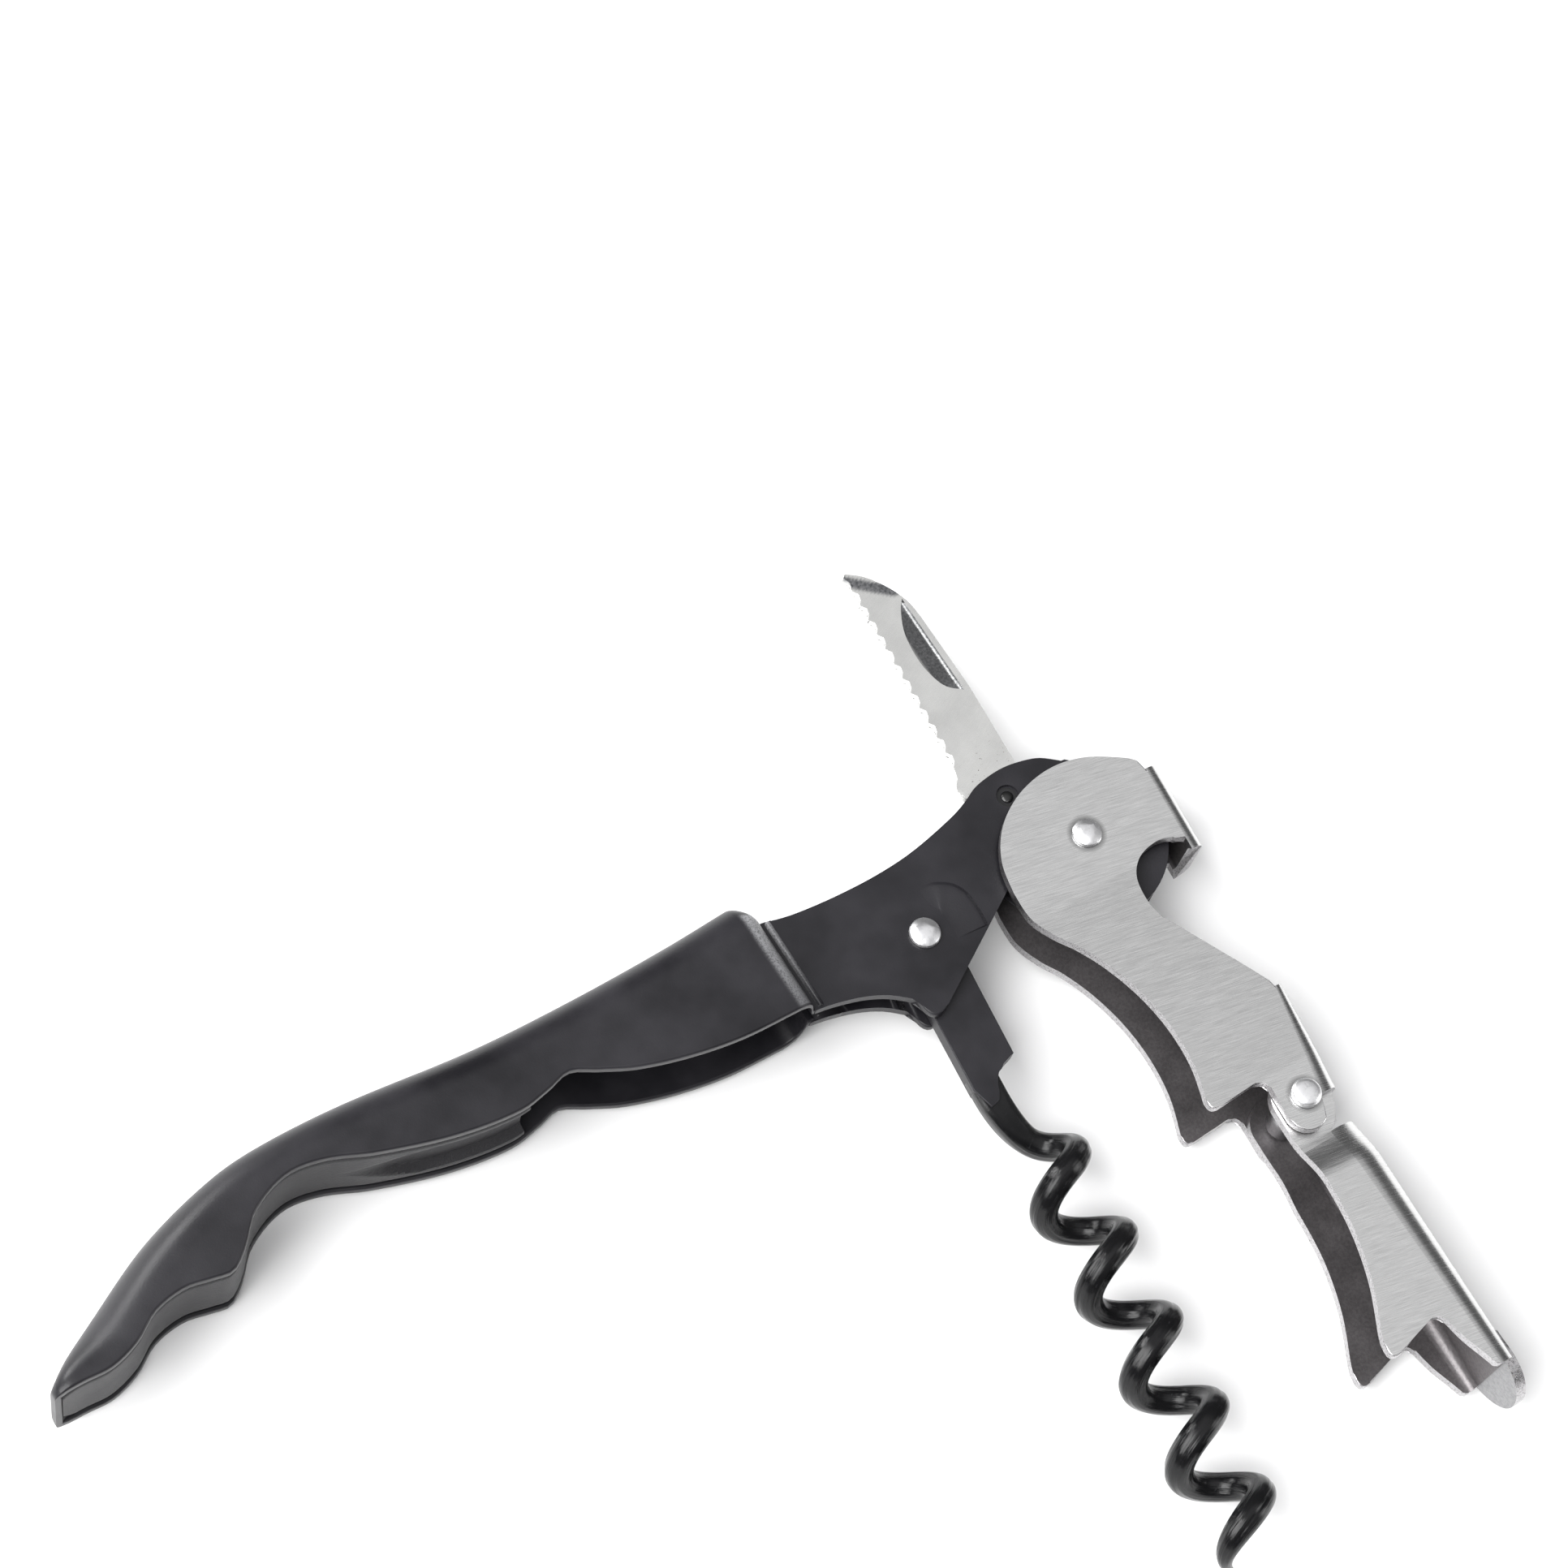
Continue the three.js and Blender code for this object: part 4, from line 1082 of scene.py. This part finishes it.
# ---- Rivets ----------------------------------------------------------------------------------------------
def faceted_head(centre, base, radius, height, turn):
    """A hammered rivet head: round at the foot, with uneven flats towards the top."""
    points = []
    for k in range(40):
        a = 2 * math.pi * k / 40
        points += [(radius, a, 0.0), (radius, a, 0.3 * height), (0.94 * radius, a, 0.52 * height)]
    for k in range(7):
        a = turn + 2 * math.pi * (k + 0.3 * math.sin(2.1 * k)) / 7
        points.append(((0.66 + 0.06 * math.sin(3.7 * k)) * radius, a, 0.88 * height))
    for k in range(5):
        a = turn + 2 * math.pi * (k + 0.25 * math.cos(1.9 * k)) / 5
        points.append((0.42 * radius, a, (0.985 + 0.015 * math.cos(2.3 * k)) * height))
    bm = bmesh.new()
    for r, a, z in points:
        bm.verts.new((centre[0] + r * math.cos(a), centre[1] + r * math.sin(a), base + z))
    bmesh.ops.convex_hull(bm, input=bm.verts)
    loose = [v for v in bm.verts if not v.link_faces]
    bmesh.ops.delete(bm, geom=loose, context="VERTS")
    return bm


def domed_head(centre, base, radius, height, _turn):
    """A smooth low dome with a nearly flat top, the same at every turn."""
    profile = [(1.0, 0), (1.0, 0.4), (0.95, 0.68), (0.84, 0.85), (0.62, 0.96), (0.3, 0.995), (0.02, 1.0)]
    return round_part(centre, [(radius * r, base + height * h) for r, h in profile])


def rivet(name, centre, shank_r, reach, head_r, head_h, body, node, turn, head=faceted_head, smooth=14):
    """A shank with a head at each end, formed at a height of reach from the middle plane."""
    near = head(centre, reach, head_r, head_h, turn)
    far = mirrored(head(centre, reach, head_r, head_h, turn + 1.1))
    shank = round_part(centre, [(shank_r, -reach - 0.1), (shank_r, reach + 0.1)], 32)
    place(name, merge(near, far, shank), [RIVET_STEEL], body, [node], smooth)


rivet("main_pivot_head", MAIN_PIVOT, 1.25, CAP_HALF + 0.05, HEAD_R, 0.62, "handle", "main_pivot_rivet", 0.4)
rivet("lever_joint_head", JOINT_PIVOT, 1.2, HALF_WIDTH + 0.05, HEAD_R, 0.8, "main_lever", "lever_joint_rivet",
      0, domed_head, 60)
rivet("worm_pivot_head", WORM_PIVOT, 1.2, NECK_HALF + 0.05, 1.5, 0.75, "handle", "worm_pivot_rivet", 2.2)


def blade_pin():
    """The blade's pin, with a small dome deep in the pit of the cheek, in a darker black that is painted
    shade of the pit.
    """
    top, pin_r, dome_r, dome_h = NECK_HALF - 0.36, 1.1, 0.62, 0.26
    profile = [(pin_r, -top), (pin_r, top), (0.8, top + 0.02)]
    for k in range(6):
        a = math.pi / 2 * k / 6
        profile.append((dome_r * math.cos(a), top + dome_h * math.sin(a)))
    pin = round_part(BLADE_PIVOT, profile + [(0.02, top + dome_h)], 40)
    place("blade_pin_dimple", pin, [PIT_SHADE_BLACK], "handle", ["blade_pivot_pin"])


blade_pin()

# ---- CAD nodes that stay ---------------------------------------------------------------------------------
KEPT = {
    "back_spring": SPRING_STEEL, "main_pivot_spacer": RIVET_STEEL,
    "main_pivot_washer_left": RIVET_STEEL, "main_pivot_washer_right": RIVET_STEEL,
    "blade_washer_left": RIVET_STEEL, "blade_washer_right": RIVET_STEEL,
}
for node, material in KEPT.items():
    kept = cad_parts[node]
    kept.data.materials.clear()
    kept.data.materials.append(material)

# ---- Camera, floor and light -----------------------------------------------------------------------------
CAMERA_FROM_PIVOT = (-147.33, -83.11, 336.92)  # mm
CAMERA_TURN = (24.399, -8.558, -32.831)  # degrees about X, Y and Z
LENS = 91.64

camera_data = bpy.data.cameras.new("camera")
camera_data.lens = LENS
camera_data.sensor_width = 36
camera_data.clip_start = 0.01
camera = bpy.data.objects.new("camera", camera_data)
camera.location = PIVOT + Vector(CAMERA_FROM_PIVOT) * MM
camera.rotation_euler = [math.radians(a) for a in CAMERA_TURN]
bpy.context.scene.collection.objects.link(camera)
bpy.context.scene.camera = camera

floor_mesh = bpy.data.meshes.new("floor")
reach, floor_gap = 3.0, 0.0001  # metres
floor_mesh.from_pydata([(-reach, -reach, 0), (reach, -reach, 0), (reach, reach, 0), (-reach, reach, 0)], [],
                       [(0, 1, 2, 3)])
floor = bpy.data.objects.new("floor", floor_mesh)
bpy.context.scene.collection.objects.link(floor)
floor.location.z = cad_box[0].z - floor_gap
white = Nodes("pale_floor")
tone = white.mix(white.noise(white.position(), 6), (0.86, 0.86, 0.86), (0.90, 0.90, 0.90))
grain = white.span(white.noise(white.position(), 30), 0.7, 0.8)
floor_mesh.materials.append(white.finish(tone, grain))


def area_light(name, location, size, power, target=PIVOT):
    light = bpy.data.lights.new(name, "AREA")
    light.shape = "RECTANGLE"
    light.size, light.size_y = size
    light.energy = power
    obj = bpy.data.objects.new(name, light)
    obj.location = location
    obj.rotation_euler = (target - Vector(location)).to_track_quat("-Z", "Y").to_euler()
    bpy.context.scene.collection.objects.link(obj)


area_light("key", PIVOT + Vector((-0.75, 0.10, 0.85)), (1.1, 0.9), 26.0)
area_light("tail_sheen", PIVOT + Vector((-0.17, 0.37, 0.16)), (0.14, 0.14), 0.9, PIVOT + Vector((-0.1, 0, 0)))
area_light("right_rim", PIVOT + Vector((0.55, -0.45, 0.22)), (0.2, 0.5), 1.6)

world = bpy.data.worlds.new("studio")
world.use_nodes = True
bpy.context.scene.world = world
background = world.node_tree.nodes["Background"]
direction = world.node_tree.nodes.new("ShaderNodeTexCoord")
split = world.node_tree.nodes.new("ShaderNodeSeparateXYZ")
ramp = world.node_tree.nodes.new("ShaderNodeValToRGB")
world.node_tree.links.new(direction.outputs["Generated"], split.inputs[0])
world.node_tree.links.new(split.outputs["Z"], ramp.inputs["Fac"])
world.node_tree.links.new(ramp.outputs["Color"], background.inputs["Color"])
levels = [(0.0, 0.70), (0.06, 0.16), (0.50, 0.10), (0.70, 0.22), (0.84, 0.80), (1.0, 0.98)]
elements = ramp.color_ramp.elements
while len(elements) < len(levels):
    elements.new(0.5)
for element, (position, level) in zip(elements, levels):
    element.position = position
    element.color = (level, level, level * 1.01, 1)
background.inputs["Strength"].default_value = 1.0

bpy.context.scene.view_settings.view_transform = "Standard"
